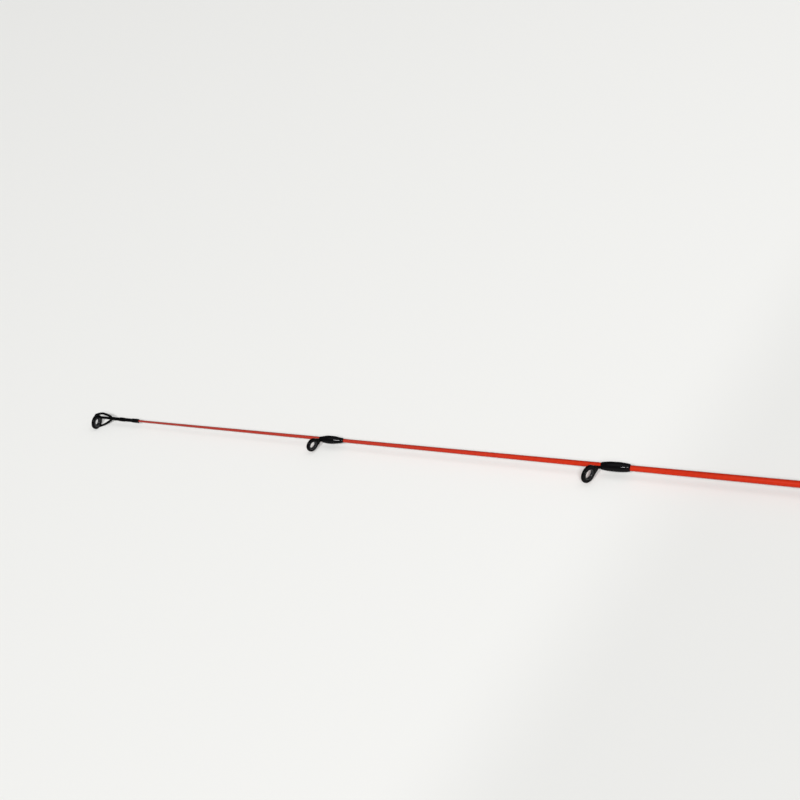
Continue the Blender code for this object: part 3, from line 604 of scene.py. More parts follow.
def wire(centres, radii):
    """A tapered wire through a few centres, with a smooth run between them."""
    points = smooth_run(centres)
    widths = [near * (1 - t) + far * t for near, far in zip(radii, radii[1:]) for t in spaced(1, 8)[:-1]]
    sections = []
    for index, (point, radius) in enumerate(zip(points, widths + [radii[-1]])):
        along = points[min(index + 1, len(points) - 1)] - points[max(index - 1, 0)]
        across = along.cross(Vector((0, 1, 0))).normalized()
        up = across.cross(along).normalized()
        sections.append([
            point + radius * (across * math.cos(turn) + up * math.sin(turn)) for turn in full_turn(20)
        ])
    return skinned(sections)


def foot_strip(bend, end, radius_at, half_width, thickness):
    """A crowned foot along the blank, ground thin towards its end."""
    crown = 1.2
    sections = []
    for share in spaced(1, 8):
        x = bend + (end - bend) * share
        wide = half_width * (1.0 - 0.3 * share)
        floor = radius_at(x) + 0.03 * mm
        height = thickness + (foot_tip - thickness) * share
        sections.append([(x, floor, -wide)] + [
            (x, floor + height * (0.35 + 0.65 * math.cos(turn)), wide * math.sin(turn) / math.sin(crown))
            for turn in spaced(2 * crown, 10, -crown)
        ] + [(x, floor, wide)])
    return skinned(sections)


def running_guide(number, distance, width, hole, stand_off, lead, length, covers):
    """One guide with its ring and winding. The distances and sizes are in millimetres."""
    place = tip_ring_reach - distance * mm
    ring_radius = width / 2 * mm
    half_foot = 0.65 * mm
    foot_thickness = 0.5 * mm
    half_plate = 0.33 * mm
    lean = math.radians(30.5)
    base = tip_blank_radius(place) + 0.05 * mm
    rise = tip_blank_radius(place) + stand_off * mm + ring_radius * math.cos(lean)
    neck = (rise - base - 0.3 * mm) / math.cos(lean)
    bend = place - neck * math.sin(lean) - 0.1 * mm
    foot_start = bend + 0.35 * mm
    foot_end = place - (lead + 0.82 * length) * mm
    stand = ring_stand(place, rise, lean)

    # The leg: straight flanks that leave the ring's circle and close in on the foot
    plate_radius = ring_radius - 0.1 * mm
    tangent = math.atan2(half_foot, neck) + math.acos(plate_radius / math.hypot(neck, half_foot))
    outline = [(-neck - 0.1 * mm, -half_foot)]
    for turn in spaced(2 * (math.pi - tangent), 40, tangent - math.pi):
        outline.append((plate_radius * math.cos(turn), plate_radius * math.sin(turn)))
    outline.append((-neck - 0.1 * mm, half_foot))
    leg = placed(skinned([[(x, y, z) for y, z in outline] for x in (-half_plate, half_plate)]), stand)
    elbow = wire(
        [(bend + 0.28 * mm, base + 0.62 * mm, 0), (bend + 0.02 * mm, base + 0.25 * mm, 0),
         (bend - 0.7 * mm, base + 0.2 * mm, 0)],
        (0.3 * mm, 0.3 * mm, 0.26 * mm),
    )
    foot = foot_strip(foot_start, foot_end, tip_blank_radius, half_foot * 0.96, foot_thickness)
    band = placed(rounded_band(ring_radius, 0.4 * mm, 1.0 * mm, 0.3 * mm, 72), stand)
    line_guide(
        f"guide_{number}", "tip_section", [band, leg, foot, elbow], stand,
        ((hole / 2 + 0.72) * mm, hole / 2 * mm, 1.19 * mm), (mm, 72), (0.075 * mm, 0.4, 3.5),
    )
    winding(
        f"guide_{number}_thread", "tip_section", f"guide_{number}_winding", place - lead * mm,
        length * mm, -1, tip_blank_radius, covers, (foot_start, foot_end, foot_thickness),
    )


running_guide(1, 91.4, 5.4, 2.3, 1.4, 1.5, 9.8, (0.85 * mm, 0.9 * mm, 1.6))
running_guide(2, 200.2, 7.2, 3.1, 1.6, 3.5, 11.2, (0.8 * mm, 0.6 * mm, 0.6))
running_guide(3, 322.0, 8.2, 4.3, 1.7, 3.8, 12.5, (0.75 * mm, 0.6 * mm, 0.8))
running_guide(4, 458.0, 9.2, 5.2, 1.9, 4.4, 14.0, (0.75 * mm, 0.6 * mm, 0.6))
running_guide(5, 608.0, 10.4, 6.2, 2.2, 5.1, 16.0, (0.75 * mm, 0.65 * mm, 0.7))


# Tip-top: a leaning ring on two side arms and a short middle strut, all brazed to a drawn steel tube
# that is glued over the end of the blank. A collar of thread and varnish closes the tube's open end.
# The upper arm bows out a little more than the lower one, as the bench left it.
tip_tube_start = 5.85 * mm
tip_tube_length = 11.2 * mm
tip_tube_radius = 0.65 * mm
tip_ring_radius = 2.95 * mm
tip_ring_rise = 2.95 * mm
tip_lean = math.radians(13)
tip_stand = ring_stand(tip_ring_reach, tip_ring_rise, tip_lean)
hub_x = tip_ring_reach - tip_tube_start
tip_band = placed(rounded_band(tip_ring_radius, 0.4 * mm, 1.05 * mm, 0.34 * mm, 72), tip_stand)
hub = turned([
    (hub_x + 0.05 * mm, 0.0), (hub_x + 0.05 * mm, tip_tube_radius),
    (hub_x + 0.6 * mm, tip_tube_radius - 0.02 * mm), (hub_x + 0.75 * mm, tip_tube_radius - 0.15 * mm),
    (hub_x + 0.75 * mm, 0.0),
], 48)
strut = wire(
    [(hub_x + 0.4 * mm, -0.02 * mm, 0), (hub_x + 2.4 * mm, -0.05 * mm, 0),
     (tip_ring_reach - 0.5 * mm, -0.06 * mm, 0)],
    (0.56 * mm, 0.5 * mm, 0.5 * mm),
)
arms = [
    wire(
        [(hub_x + 0.4 * mm, 0.0, side * 0.32 * mm),
         (hub_x + 1.3 * mm, 0.0, side * (1.1 * mm + 0.6 * bow)),
         (hub_x + 3.6 * mm, 0.8 * mm, side * (2.52 * mm + bow)),
         (tip_ring_reach - 0.3 * mm, 2.2 * mm, side * (2.8 * mm + bow)),
         (tip_ring_reach + 0.12 * mm, 2.75 * mm, side * (2.7 * mm + 0.7 * bow)),
         (tip_ring_reach + 0.2 * mm, 3.1 * mm, side * (2.6 * mm + 0.3 * bow))],
        (0.43 * mm, 0.48 * mm, 0.46 * mm, 0.43 * mm, 0.3 * mm, 0.12 * mm),
    )
    for side, bow in ((-1, 0.0), (1, 0.22 * mm))
]
line_guide(
    "tip_top", "tip_section", [tip_band, hub, strut] + arms, tip_stand,
    (2.1 * mm, 1.05 * mm, 1.19 * mm), (mm, 72), (0.07 * mm, 0.5, 3.5),
)

tube_rear = hub_x - tip_tube_length
tube_bore = blank_radius(tube_rear) + 0.05 * mm
bore_end = tube_rear + 10.3 * mm
swell = hub_x - 0.36 * tip_tube_length
bulge = [(swell + away * mm, tip_tube_radius + height * mm) for away, height in (
    (1.6, 0), (1.2, 0.04), (0.8, 0.11), (0, 0.15), (-0.8, 0.11), (-1.2, 0.04), (-1.6, 0),
)]
tip_tube = new_body("tip_top_barrel", turned([
    (hub_x, 0.0), (hub_x, tip_tube_radius - 0.06 * mm), (hub_x - 0.06 * mm, tip_tube_radius),
] + bulge + [
    (tube_rear + 0.06 * mm, tip_tube_radius), (tube_rear, tip_tube_radius - 0.05 * mm),
    (tube_rear, tube_bore), (bore_end, tube_bore), (bore_end, 0.0),
], 48))
mark_edges(tip_tube, 3.5, 0)
fit_on(tip_tube, black_steel, "tip_section", "black_frame", "tip_top_tube")
round_winding(
    "tip_top_thread", "tip_top_collar", tube_rear, 3.2 * mm, 0.35 * mm, lambda x: tip_tube_radius,
    (0.01 * mm, 0.01 * mm), 0.16 * mm, (0.5, 0.6, 0.7), 48,
)


# Stripper guide: the large ring nearest the reel. A steel leg in front and two struts behind carry
# it, and both end in feet that are bound to the blank.
stripper_x = tip_ring_reach - 768 * mm
stripper_radius = 5.9 * mm
stripper_seat = 4.62 * mm
stripper_lean = math.radians(8)
stripper_base = blank_radius(stripper_x) + 0.05 * mm
stripper_rise = blank_radius(stripper_x) + 2.6 * mm + stripper_radius
stripper_stand = ring_stand(stripper_x, stripper_rise, stripper_lean)
leg = 0.65 * mm
stripper_foot = 10.6 * mm
stripper_thread = 13.0 * mm
foot_thickness = 0.7 * mm
band_middle = (stripper_radius + stripper_seat) / 2
low_x = stripper_x - band_middle * math.sin(stripper_lean)
low_y = stripper_rise - band_middle * math.cos(stripper_lean)
side_x = stripper_x - 0.35 * band_middle * math.sin(stripper_lean)
side_y = stripper_rise - 0.35 * band_middle
front_x = stripper_x + 3.4 * mm
rear_x = stripper_x - 9.0 * mm
shapes = [wire(
    [(low_x, low_y, 0), (low_x + 0.9 * mm, low_y - 1.1 * mm, 0),
     (front_x, stripper_base + 0.37 * mm, 0), (front_x + 1.2 * mm, stripper_base + 0.3 * mm, 0)],
    (0.75 * leg, 0.9 * leg, 0.85 * leg, 0.5 * leg),
)]
for side in (-1, 1):
    shapes.append(wire(
        [(side_x, side_y, side * 0.94 * band_middle),
         (stripper_x - 4.05 * mm, 0.5 * (side_y + stripper_base), side * 0.6 * band_middle),
         (rear_x, stripper_base + 0.37 * mm, side * 0.35 * leg),
         (rear_x - 1.2 * mm, stripper_base + 0.3 * mm, side * 0.2 * leg)],
        (0.8 * leg, 0.85 * leg, 0.75 * leg, 0.5 * leg),
    ))
feet = ((front_x, 1, "front"), (rear_x, -1, "rear"))
for bend, direction, label in feet:
    shapes.append(foot_strip(
        bend - direction * 0.6 * mm, bend + direction * stripper_foot, blank_radius, leg, foot_thickness,
    ))
stripper_band = rounded_band(stripper_radius, 3.0 * mm, 1.2 * mm, 0.36 * mm, 96)
line_guide(
    "guide_6", "butt_section", [placed(stripper_band, stripper_stand)] + shapes, stripper_stand,
    (stripper_seat, 3.9 * mm, 1.49 * mm), (1.5 * mm, 96), (0.11 * mm, 0.4, 2.5),
)
for bend, direction, label in feet:
    winding(
        f"guide_6_{label}_thread", "butt_section", f"guide_6_{label}_winding",
        bend + direction * 0.9 * mm, stripper_thread, direction, blank_radius,
        (0.7 * mm, 0.6 * mm, 0.7),
        (bend, bend + direction * stripper_foot, foot_thickness),
    )


# Hook keeper: a strip of black steel bent into an arch and bound down at both ends. The small wire
# ring in the arch holds the hook while the rod is carried.
keeper_x = 306 * mm
arch_inner = 0.75 * mm
strap_thickness = 0.4 * mm
arch_outer = arch_inner + strap_thickness
keeper_skin = blank_radius(keeper_x) + 0.05 * mm
arch_y = -(keeper_skin + 1.3 * mm)
# One end of the strap as pairs of points on its outer and inner face, then the arch and the other end
strap_end = [
    ((arch_outer + 6.5 * mm, -keeper_skin - 0.15 * mm), (arch_outer + 6.5 * mm, -keeper_skin)),
    ((arch_outer + 0.4 * mm, -keeper_skin - strap_thickness), (arch_inner + 0.1 * mm, -keeper_skin)),
    ((arch_outer + 0.06 * mm, -keeper_skin - strap_thickness - 0.12 * mm),
     (arch_inner, -keeper_skin - 0.2 * mm)),
]
strap = strap_end + [
    [(radius * math.cos(turn), arch_y - radius * math.sin(turn)) for radius in (arch_outer, arch_inner)]
    for turn in spaced(math.pi, 24)
] + [((-out_x, out_y), (-in_x, in_y)) for (out_x, out_y), (in_x, in_y) in reversed(strap_end)]
half = Vector((0, 0, 0.9 * mm))
near = Vector((0, 0, 0.8 * mm))
sections = []
for (out_x, out_y), (in_x, in_y) in strap:
    out = Vector((keeper_x + out_x, out_y, 0))
    inn = Vector((keeper_x + in_x, in_y, 0))
    trim = (out - inn) * 0.22
    sections.append([
        inn - near, inn + trim - half, out - trim - half, out - near,
        out + near, out - trim + half, inn + trim + half, inn + near,
    ])
keeper_strap = new_body("keeper_steel", skinned(sections), 50)
mark_edges(keeper_strap, 3.5, 1)
fit_on(keeper_strap, black_steel, "butt_section", "black_frame", "keeper_strap")
loop_wire = 0.375 * mm
loop_middle = 3.2 * mm - loop_wire
keeper_loop = new_body("keeper_loop", skinned([
    [
        (
            keeper_x + loop_middle + (loop_middle + loop_wire * math.cos(lap)) * math.cos(turn),
            arch_y + loop_wire * math.sin(lap) * 0.866,
            (loop_middle + loop_wire * math.cos(lap)) * math.sin(turn),
        )
        for lap in full_turn(16)
    ]
    for turn in full_turn(64)
], closed=True))
mark_edges(keeper_loop, 6.0, 0)
fit_on(keeper_loop, black_steel, "keeper", "black_frame", "keeper_ring")
keeper_thread = 6.8 * mm
for direction, label in ((1, "front"), (-1, "rear")):
    start = keeper_x + direction * (arch_outer + 0.9 * mm)
    sections = []
    for distance in winding_rows(keeper_thread, 0.35 * mm):
        share = distance / keeper_thread
        lip = varnish_lip(distance, keeper_thread, 0.35 * mm)
        fullness = (0.5 + 0.5 * math.sin(math.pi * share) ** 0.7) * lip
        x = start + direction * distance
        radius = blank_radius(x) - 0.02 * mm
        round_side = radius + 0.35 * mm * fullness
        strap = (strap_thickness * (1 - share) + 0.15 * mm * share + 0.1 * mm) * lip
        sections.append(oval(x, round_side, round_side + strap, round_side + 0.35 * strap, 48))
    fit_on(
        new_body(f"keeper_{label}_thread", skinned(sections), 60),
        black_winding, "butt_section", "black_winding", f"keeper_{label}_winding",
    )


# Grips: rings of natural cork 12.6 mm long, glued end to end, bored for the blank and turned on it.
# The bark side's pores run in from the rim, and the larger ones are left open.
cork_ring = 12.6 * mm
rear_cork_start = 17.2 * mm


def radius_along(outline, x):
    for near, far in zip(outline, outline[1:]):
        if x <= far.x:
            return near.y + (far.y - near.y) * (x - near.x) / (far.x - near.x)
    return outline[-1].y


cork, tree, surface = new_finish("cork", roughness=0.8, specular_ior_level=0.3)
on_rod = effect(tree, rod_place)
pit = shader(tree, "Attribute", "Fac", attribute_name="pit")
# Each ring has its own tone and pattern, and a thin dark seam of glue to the next
ring_count = (on_rod["Along"] - rear_cork_start / mm) / (cork_ring / mm)
own_tone, own_place = [
    shader(tree, "TexWhiteNoise", output, {"W": ring_count.step("FLOOR")}, noise_dimensions="1D")
    for output in ("Value", "Color")
]
seam_distance = ((ring_count + 0.5).step("FRACT") - 0.5).step("ABSOLUTE")
seam = 1.0 - (seam_distance * 60.0).kept()
shift = shader(tree, "VectorMath", 0, {0: own_place, "Scale": 90.0}, operation="SCALE")
shifted = shader(tree, "VectorMath", 0, {0: on_rod["Point"], 1: shift}, operation="ADD")
cells = grain(shifted, 2.6, 4.0, 0.65)
streaks = grain(stretch(shifted, 0.9, 0.16), 1.0, 5.0, 0.6)
pores = shader(tree, "TexVoronoi", "Distance", {"Vector": stretch(shifted, 0.5, 1.1), "Scale": 1.0})
pores = ((0.2 - pores) * 7.0).kept() * (streaks * 5.0 - 2.2).kept()
tone = (own_tone * 0.35 + (streaks * 0.9 + (cells * 0.6 - 0.42))).kept()
bare = tint(tone, (0.36, 0.19, 0.085, 1), (0.62, 0.41, 0.225, 1))
spotted = tint(pores.step("MAXIMUM", pit), bare, (0.075, 0.032, 0.013, 1))
fill(surface, {
    "Base Color": tint(seam * 0.55, spotted, (0.16, 0.075, 0.03, 1)),
    "Roughness": cells * 0.25 + 0.62,
    "Normal": relief(cells * 0.5 - (pores + seam), 0.12 * mm),
})


def cork_grip(name, node, start, points):
    """A turned grip whose open pores are carved into it."""
    outline = smooth_run(points, 12)
    length = outline[-1].x
    row_width = 0.55 * mm
    rim = 0.5 * mm
    sides = 120
    bore = blank_radius(start) + 0.1 * mm
    sections = []
    pits = []
    for x in spaced(length, int(length / row_width)):
        edge = min(x, length - x)
        radius = radius_along(outline, x) - rim * max(1 - edge / rim, 0.0) ** 2
        section = []
        for turn in full_turn(sides):
            spot = Vector(around(start + x, radius, turn)) / mm
            hole = noise.noise(Vector((spot.x * 0.42, spot.y * 0.8, spot.z * 0.8)))
            hole += 0.45 * noise.noise(spot * 1.9)
            pit_depth = min(max((hole - 0.44) * 3.2, 0.0), 1.0)
            swell = 0.05 * mm * noise.noise(spot * 0.16)
            section.append(around(start + x, radius + swell - 0.42 * mm * pit_depth, turn))
            pits.append(pit_depth)
        sections.append(section)
    for x in (length, 0.0):
        sections.append([around(start + x, bore, turn) for turn in full_turn(sides)])
    made = new_body(name, skinned(sections, closed=True), 60)
    store(made.data, "pit", pits + [0.0] * 2 * sides)
    fit_on(made, cork, "butt_section", "cork", node)


cork_grip("rear_cork", "rear_grip", rear_cork_start, [
    (0.0, 12.5 * mm), (22.2 * mm, 13.2 * mm), (72.15 * mm, 11.2 * mm), (111 * mm, 12.0 * mm),
])
cork_grip("front_cork", "foregrip", 240.3 * mm, [
    (0.0, 11.4 * mm), (1.6 * mm, 12.2 * mm), (14 * mm, 11.83 * mm), (40 * mm, 8.0 * mm),
])


# Butt cap: soft black rubber moulded over a plug, with three shallow grooves for the hand and a fine
# matt skin from the mould. It goes over the end of the grip's blank and takes the knocks.
moulded_skin, given, result = new_effect(
    "moulded skin", {"Point": "Vector", "Size": "Float"}, {"Height": "Float", "Shade": "Float"},
)
fill(result, {
    "Height": grain(given["Point"], given["Size"], 3.0, 0.6), "Shade": grain(given["Point"], 0.13, 2.0),
})

black_rubber, tree, surface = new_finish("black rubber", roughness=0.8, specular_ior_level=0.35)
on_rod = effect(tree, rod_place)
marks = marks_on(tree, on_rod["Point"], 0.7)
mould = effect(tree, moulded_skin, {"Point": on_rod["Point"], "Size": 2.4})
shades = tint(mould["Shade"], (0.014, 0.014, 0.0145, 1), (0.026, 0.026, 0.027, 1))
fill(surface, {
    "Base Color": tint(marks["Worn"], shades, (0.07, 0.068, 0.065, 1)),
    "Roughness": mould["Height"] * 0.2 + 0.62,
    "Normal": relief(mould["Height"], 0.05 * mm),
})
cap_length = 14 * mm
cap_bore = blank_radius(cap_length) + 0.1 * mm
cap_floor = 6 * mm
cap_edge = 4 * mm
cap_outline = [(0.0, 0.0), (0.0, 8.4 * mm)]
for turn in spaced(math.pi / 2, 16):
    cap_outline.append((cap_edge * (1 - math.cos(turn)), 9 * mm + cap_edge * math.sin(turn)))
for groove in (6.2 * mm, 8.4 * mm, 10.6 * mm):
    straight = 13 * mm - 0.2 * mm * (groove - cap_edge) / (9 * mm)
    cap_outline += [
        (groove + away * mm, straight - deep * mm)
        for away, deep in ((-0.7, 0), (-0.35, 0.08), (-0.15, 0.42), (0.15, 0.42), (0.35, 0.08), (0.7, 0))
    ]
cap_outline += [
    (13.2 * mm, 12.72 * mm), (13.6 * mm, 12.62 * mm), (13.9 * mm, 12.42 * mm), (cap_length, 12.1 * mm),
    (cap_length, cap_bore), (cap_floor, cap_bore), (cap_floor, 0.0),
]
butt_cap = new_body("butt_cap_rubber", turned(cap_outline, 96), 50)
mark_edges(butt_cap, 1.2, 1)
fit_on(butt_cap, black_rubber, "butt_section", "black_rubber", "butt_cap")


# Trim rings and winding check: aluminium turned on a lathe, its faces left bright, with two fine
# grooves. The check closes the gap between the front cork and the blank.
lathe_lines, given, result = new_effect(
    "lathe lines", {"Along": "Float", "Point": "Vector"}, {"Height": "Float", "Shade": "Float"},
)
fill(result, {
    "Height": shader(lathe_lines, "TexNoise", "Fac", {
        "W": given["Along"] * 9.0, "Scale": 1.0, "Detail": 4.0,
    }, noise_dimensions="1D"),
    "Shade": grain(given["Point"], 0.35, 4.0),
})


def turned_metal(name, low, high, smooth, rough):
    """Turned aluminium, between two colours and two roughnesses."""
    made, tree, surface = new_finish(name, metallic=1.0)
    on_rod = effect(tree, rod_place)
    marks = marks_on(tree, on_rod["Point"], 0.62)
    lathe = effect(tree, lathe_lines, {"Along": on_rod["Along"], "Point": on_rod["Point"]})
    fill(surface, {
        "Base Color": tint(marks["Worn"] * 0.85, tint(lathe["Shade"], low, high), (0.7, 0.7, 0.71, 1)),
        "Roughness": lathe["Shade"] * (rough - smooth) + (marks["Scratches"] * 0.1 + smooth),
        "Normal": relief(lathe["Height"] - marks["Scratches"], 0.008 * mm),
    })
    return made


bright_metal = turned_metal("bright turned metal", (0.5, 0.5, 0.52, 1), (0.68, 0.68, 0.69, 1), 0.16, 0.34)


def trim_ring(name, node, start, radius):
    """A ring with a rounded rim on both faces and two fine grooves."""
    width = 2.6 * mm
    low = radius - 0.2 * mm
    crown = radius + 0.3 * mm
    bore = blank_radius(start) + 0.1 * mm
    outline = [(0.0, low - 0.15 * mm), (0.08 * mm, low)]
    for turn in spaced(math.pi / 2, 5):
        outline.append((0.08 * mm + 0.55 * mm * (1 - math.cos(turn)), low + 0.5 * mm * math.sin(turn)))
    for groove in (1.0 * mm, 1.6 * mm):
        outline += [
            (groove + away * mm, crown - deep * mm)
            for away, deep in ((-0.12, 0), (-0.06, 0.12), (0.06, 0.12), (0.12, 0))
        ]
    for turn in spaced(math.pi / 2, 5):
        outline.append((1.97 * mm + 0.55 * mm * math.sin(turn), low + 0.5 * mm * math.cos(turn)))
    outline += [(width, low - 0.15 * mm), (width, bore), (0.0, bore)]
    made = new_body(name, turned([(start + x, r) for x, r in outline], 96), 35)
    mark_edges(made, 3.0, 0)
    fit_on(made, bright_metal, "butt_section", "trim_metal", node)


trim_ring("butt_ring", "butt_trim_ring", 14.3 * mm, 12.5 * mm)
trim_ring("seat_ring", "seat_trim_ring", 128.5 * mm, 12.0 * mm)
check_x = 280.6 * mm
check_length = 3.2 * mm
check_rim = 7.85 * mm
check_dome = 1.28 * mm
check_bore = blank_radius(check_x) + 0.1 * mm
check_front = blank_radius(check_x + check_length) + 0.7 * mm
check_outline = [
    (0.0, check_rim), (0.12 * mm, 8.0 * mm), (0.9 * mm, 8.0 * mm), (1.02 * mm, check_rim),
    (1.16 * mm, check_rim), (check_dome, 7.95 * mm),
]
for turn in spaced(math.pi / 2, 12):
    height = check_front + 0.1 * mm + (check_rim - check_front) * math.cos(turn)
    check_outline.append((check_dome + 1.72 * mm * math.sin(turn), height))
check_outline += [(check_length, check_front), (check_length, check_bore), (0.0, check_bore)]
winding_check = new_body("check_ring", turned([(check_x + x, r) for x, r in check_outline], 80), 35)
mark_edges(winding_check, 3.0, 0)
fit_on(winding_check, bright_metal, "butt_section", "trim_metal", "winding_check")


# Reel seat: one moulding of glass-filled black nylon. It has a round rear, a hood with a pocket for
# the rear of the reel's foot, a flat bed, a trigger for the forefinger and a barrel with a thread.
seat_start = 131.4 * mm
seat_length = 108.6 * mm
barrel_radius = 10.5 * mm
bed_y = 9 * mm
mouth = 33 * mm
bed_length = 34 * mm
pocket_depth = 12 * mm
pocket_half = 7.5 * mm
roof_y = 16.2 * mm
seat_bore = 7 * mm

black_nylon, tree, surface = new_finish("black nylon", roughness=0.4, specular_ior_level=0.5)
on_rod = effect(tree, rod_place)
marks = marks_on(tree, on_rod["Point"], 0.5)
mould = effect(tree, moulded_skin, {"Point": on_rod["Point"], "Size": 4.5})
shades = tint(mould["Shade"], (0.0095, 0.0095, 0.0105, 1), (0.018, 0.018, 0.019, 1))
fill(surface, {
    "Base Color": tint(marks["Worn"] * 0.6, shades, (0.06, 0.06, 0.06, 1)),
    "Roughness": mould["Shade"] * 0.2 + (marks["Worn"] * -0.12 + 0.26),
    "Normal": relief(mould["Height"] - marks["Scratches"] * 0.7, 0.022 * mm),
})


def seat_section(x, half_width, depth, top, corner):
    """Round below the rod's axis, and above it straight sides with rounded upper corners."""
    points = []
    for turn in spaced(math.pi, 40, math.pi)[1:-1]:
        points.append((x, depth * math.sin(turn), half_width * math.cos(turn)))
    for turn in spaced(math.pi / 2, 16)[:-1]:
        points.append((
            x, top - corner + corner * math.sin(turn), half_width - corner + corner * math.cos(turn),
        ))
    points.append((x, top, 0.0))
    for turn in spaced(math.pi / 2, 16, math.pi / 2)[1:]:
        points.append((
            x, top - corner + corner * math.sin(turn), corner - half_width + corner * math.cos(turn),
        ))
    return points


def foot_pocket(low, high):
    """The room for one end of a reel's foot."""
    return skinned([
        [(seat_start + x, y, z) for y, z in (
            (bed_y, -pocket_half), (bed_y + 3.5 * mm, -pocket_half), (bed_y + 5 * mm, -0.75 * pocket_half),
            (bed_y + 5 * mm, 0.75 * pocket_half), (bed_y + 3.5 * mm, pocket_half), (bed_y, pocket_half),
        )]
        for x in (low, high)
    ])


def between(low, high):
    """A box between two corners."""
    return skinned([
        [(x, low[1], low[2]), (x, high[1], low[2]), (x, high[1], high[2]), (x, low[1], high[2])]
        for x in (low[0], high[0])
    ])


bed_end = mouth + bed_length
# How far along the seat, then its half width, depth, height and upper corners
stations = [
    (0.0, 12, 12, 12, 12), (0.25 * mouth / mm, 12, 12, 12, 12),
    (0.75 * mouth / mm, 11.8, 11.7, 15.9, 6), (mouth / mm, 10.9, 11.2, 16.2, 5.04),
    ((mouth + 0.45 * bed_length) / mm, 10.5, 9.7, 16.2, 5.04),
    (bed_end / mm - 8, 10.5, 10, 15, 6.6), (bed_end / mm - 2, 10.5, 10.5, 10.5, 10.5),
]
sections = smooth_run(stations) + [Vector((seat_length / mm, 10.5, 10.5, 10.5, 10.5))]
seat = new_body("seat_moulding", skinned([
    [(seat_start + x, y, z) for x, y, z in seat_section(*(size * mm))] for size in sections
]))
# The trigger sweeps forward as it drops, from a broad root to a rounded end
trigger_root = (13 * mm, 7.5 * mm)
trigger_end = (3.3 * mm, 4 * mm)
trigger_x = seat_start + 29 * mm
trigger_y = -8.5 * mm
trigger_sweep = 10 * mm
trigger_drop = 20 * mm
trigger = []
for share in spaced(1, 24):
    x = trigger_x + trigger_sweep * share**2
    y = trigger_y - trigger_drop * share
    slope = math.atan2(20 * share, 21.5)
    fade = math.sqrt(max(1 - max((share - 0.8) / 0.21, 0.0) ** 2, 0.0))
    taper = (1 - share) ** 2.2
    half_length, half_width = [
        (end * (1 - taper) + root * taper) * fade for end, root in zip(trigger_end, trigger_root)
    ]
    trigger.append([
        (
            x + half_length * math.cos(turn) * math.cos(slope),
            y + half_length * math.cos(turn) * math.sin(slope), half_width * math.sin(turn),
        )
        for turn in full_turn(40)
    ])
joined(seat, [skinned(trigger)], "UNION")
joined(seat, [
    between((seat_start + mouth, bed_y, -30 * mm), (seat_start + seat_length + mm, 40 * mm, 30 * mm)),
    foot_pocket(mouth - pocket_depth, mouth + mm),
    plug(seat_start - mm, seat_start + seat_length + mm, seat_bore, 64),
], "DIFFERENCE")
softened(seat, 0.3 * mm, 3, 0.3)
mark_edges(seat, 1.0, 1)
fit_on(seat, black_nylon, "butt_section", "black_seat", "reel_seat")

# The barrel's thread is right-handed with a pitch of 2.5 mm, and the bed cuts it flat on top
thread_start = seat_start + 68 * mm
thread_length = 39.6 * mm
thread_pitch = 2.5 * mm
thread_crest = 10.78 * mm
thread_root = 10.42 * mm
thread_floor = barrel_radius - 0.05 * mm
sections = []
lap_steps = 72
thread_steps = int(thread_length / thread_pitch * lap_steps)
for step in range(thread_steps + 1):
    turn = math.tau * step / lap_steps
    x = thread_start + thread_length * step / thread_steps
    rise = min(step, thread_steps - step) / (0.4 * lap_steps)
    crest = thread_floor + (thread_crest - thread_floor) * min(rise, 1.0)
    section = []
    for shift, radius in ((-0.8, thread_root), (-0.36, crest), (0.36, crest), (0.8, thread_root)):
        y = min(radius * math.cos(turn), bed_y - 0.06 * mm)
        section.append((x + shift * mm, y, radius * math.sin(turn)))
    sections.append(section)
seat_thread = new_body("seat_thread", skinned(sections), 30)
mark_edges(seat_thread, 3.0, 0)
fit_on(seat_thread, black_nylon, "butt_section", "black_seat")

# Two turned rings of cork composition centre the seat on the blank and are hidden in it
arbor_foam, tree, surface = new_finish("arbor composition", roughness=0.9)
crumbs = grain(effect(tree, rod_place)["Point"], 1.4, 4.0, 0.7)
fill(surface, {
    "Base Color": tint(crumbs, (0.24, 0.15, 0.08, 1), (0.52, 0.4, 0.27, 1)),
    "Roughness": crumbs * 0.2 + 0.75,
    "Normal": relief(crumbs, 0.15 * mm),
})
for name in ("rear_arbor", "front_arbor"):
    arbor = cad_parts[name]
    arbor.data.materials.clear()
    arbor.data.materials.append(arbor_foam)


# Moving hood: a drawn aluminium shell, anodised dark, over a nylon liner. The liner's bore has the
# barrel's flat, so that the hood slides on the barrel and can't turn.
hood_start = seat_start + bed_end
pocket_bottom = hood_start + pocket_depth
hood_end = pocket_bottom + 7 * mm
liner_bore = 10.9 * mm
liner_radius = 11.7 * mm
shell_bore = liner_radius + 0.05 * mm
shell = shell_bore + 0.9 * mm
liner = new_body("hood_bushing", turned([
    (hood_start, 0.0), (hood_start, liner_radius - 0.15 * mm), (hood_start + 0.15 * mm, liner_radius),
    (hood_end, liner_radius), (hood_end, 0.0),
], 120))
key = math.acos((bed_y + 0.1 * mm) / liner_bore)
joined(liner, [
    skinned([
        [around(x, liner_bore, turn) for turn in spaced(math.tau - 2 * key, 100, key)]
        for x in (hood_start - mm, hood_end + mm)
    ]),
    between((hood_start - mm, bed_y, -30 * mm), (pocket_bottom - 0.01 * mm, 40 * mm, 30 * mm)),
], "DIFFERENCE")
mark_edges(liner, 3.0, 0)
fit_on(liner, black_nylon, "hood", "black_seat", "hood_liner")

dark_anodised = turned_metal("dark anodised", (0.03, 0.03, 0.034, 1), (0.055, 0.055, 0.06, 1), 0.22, 0.4)
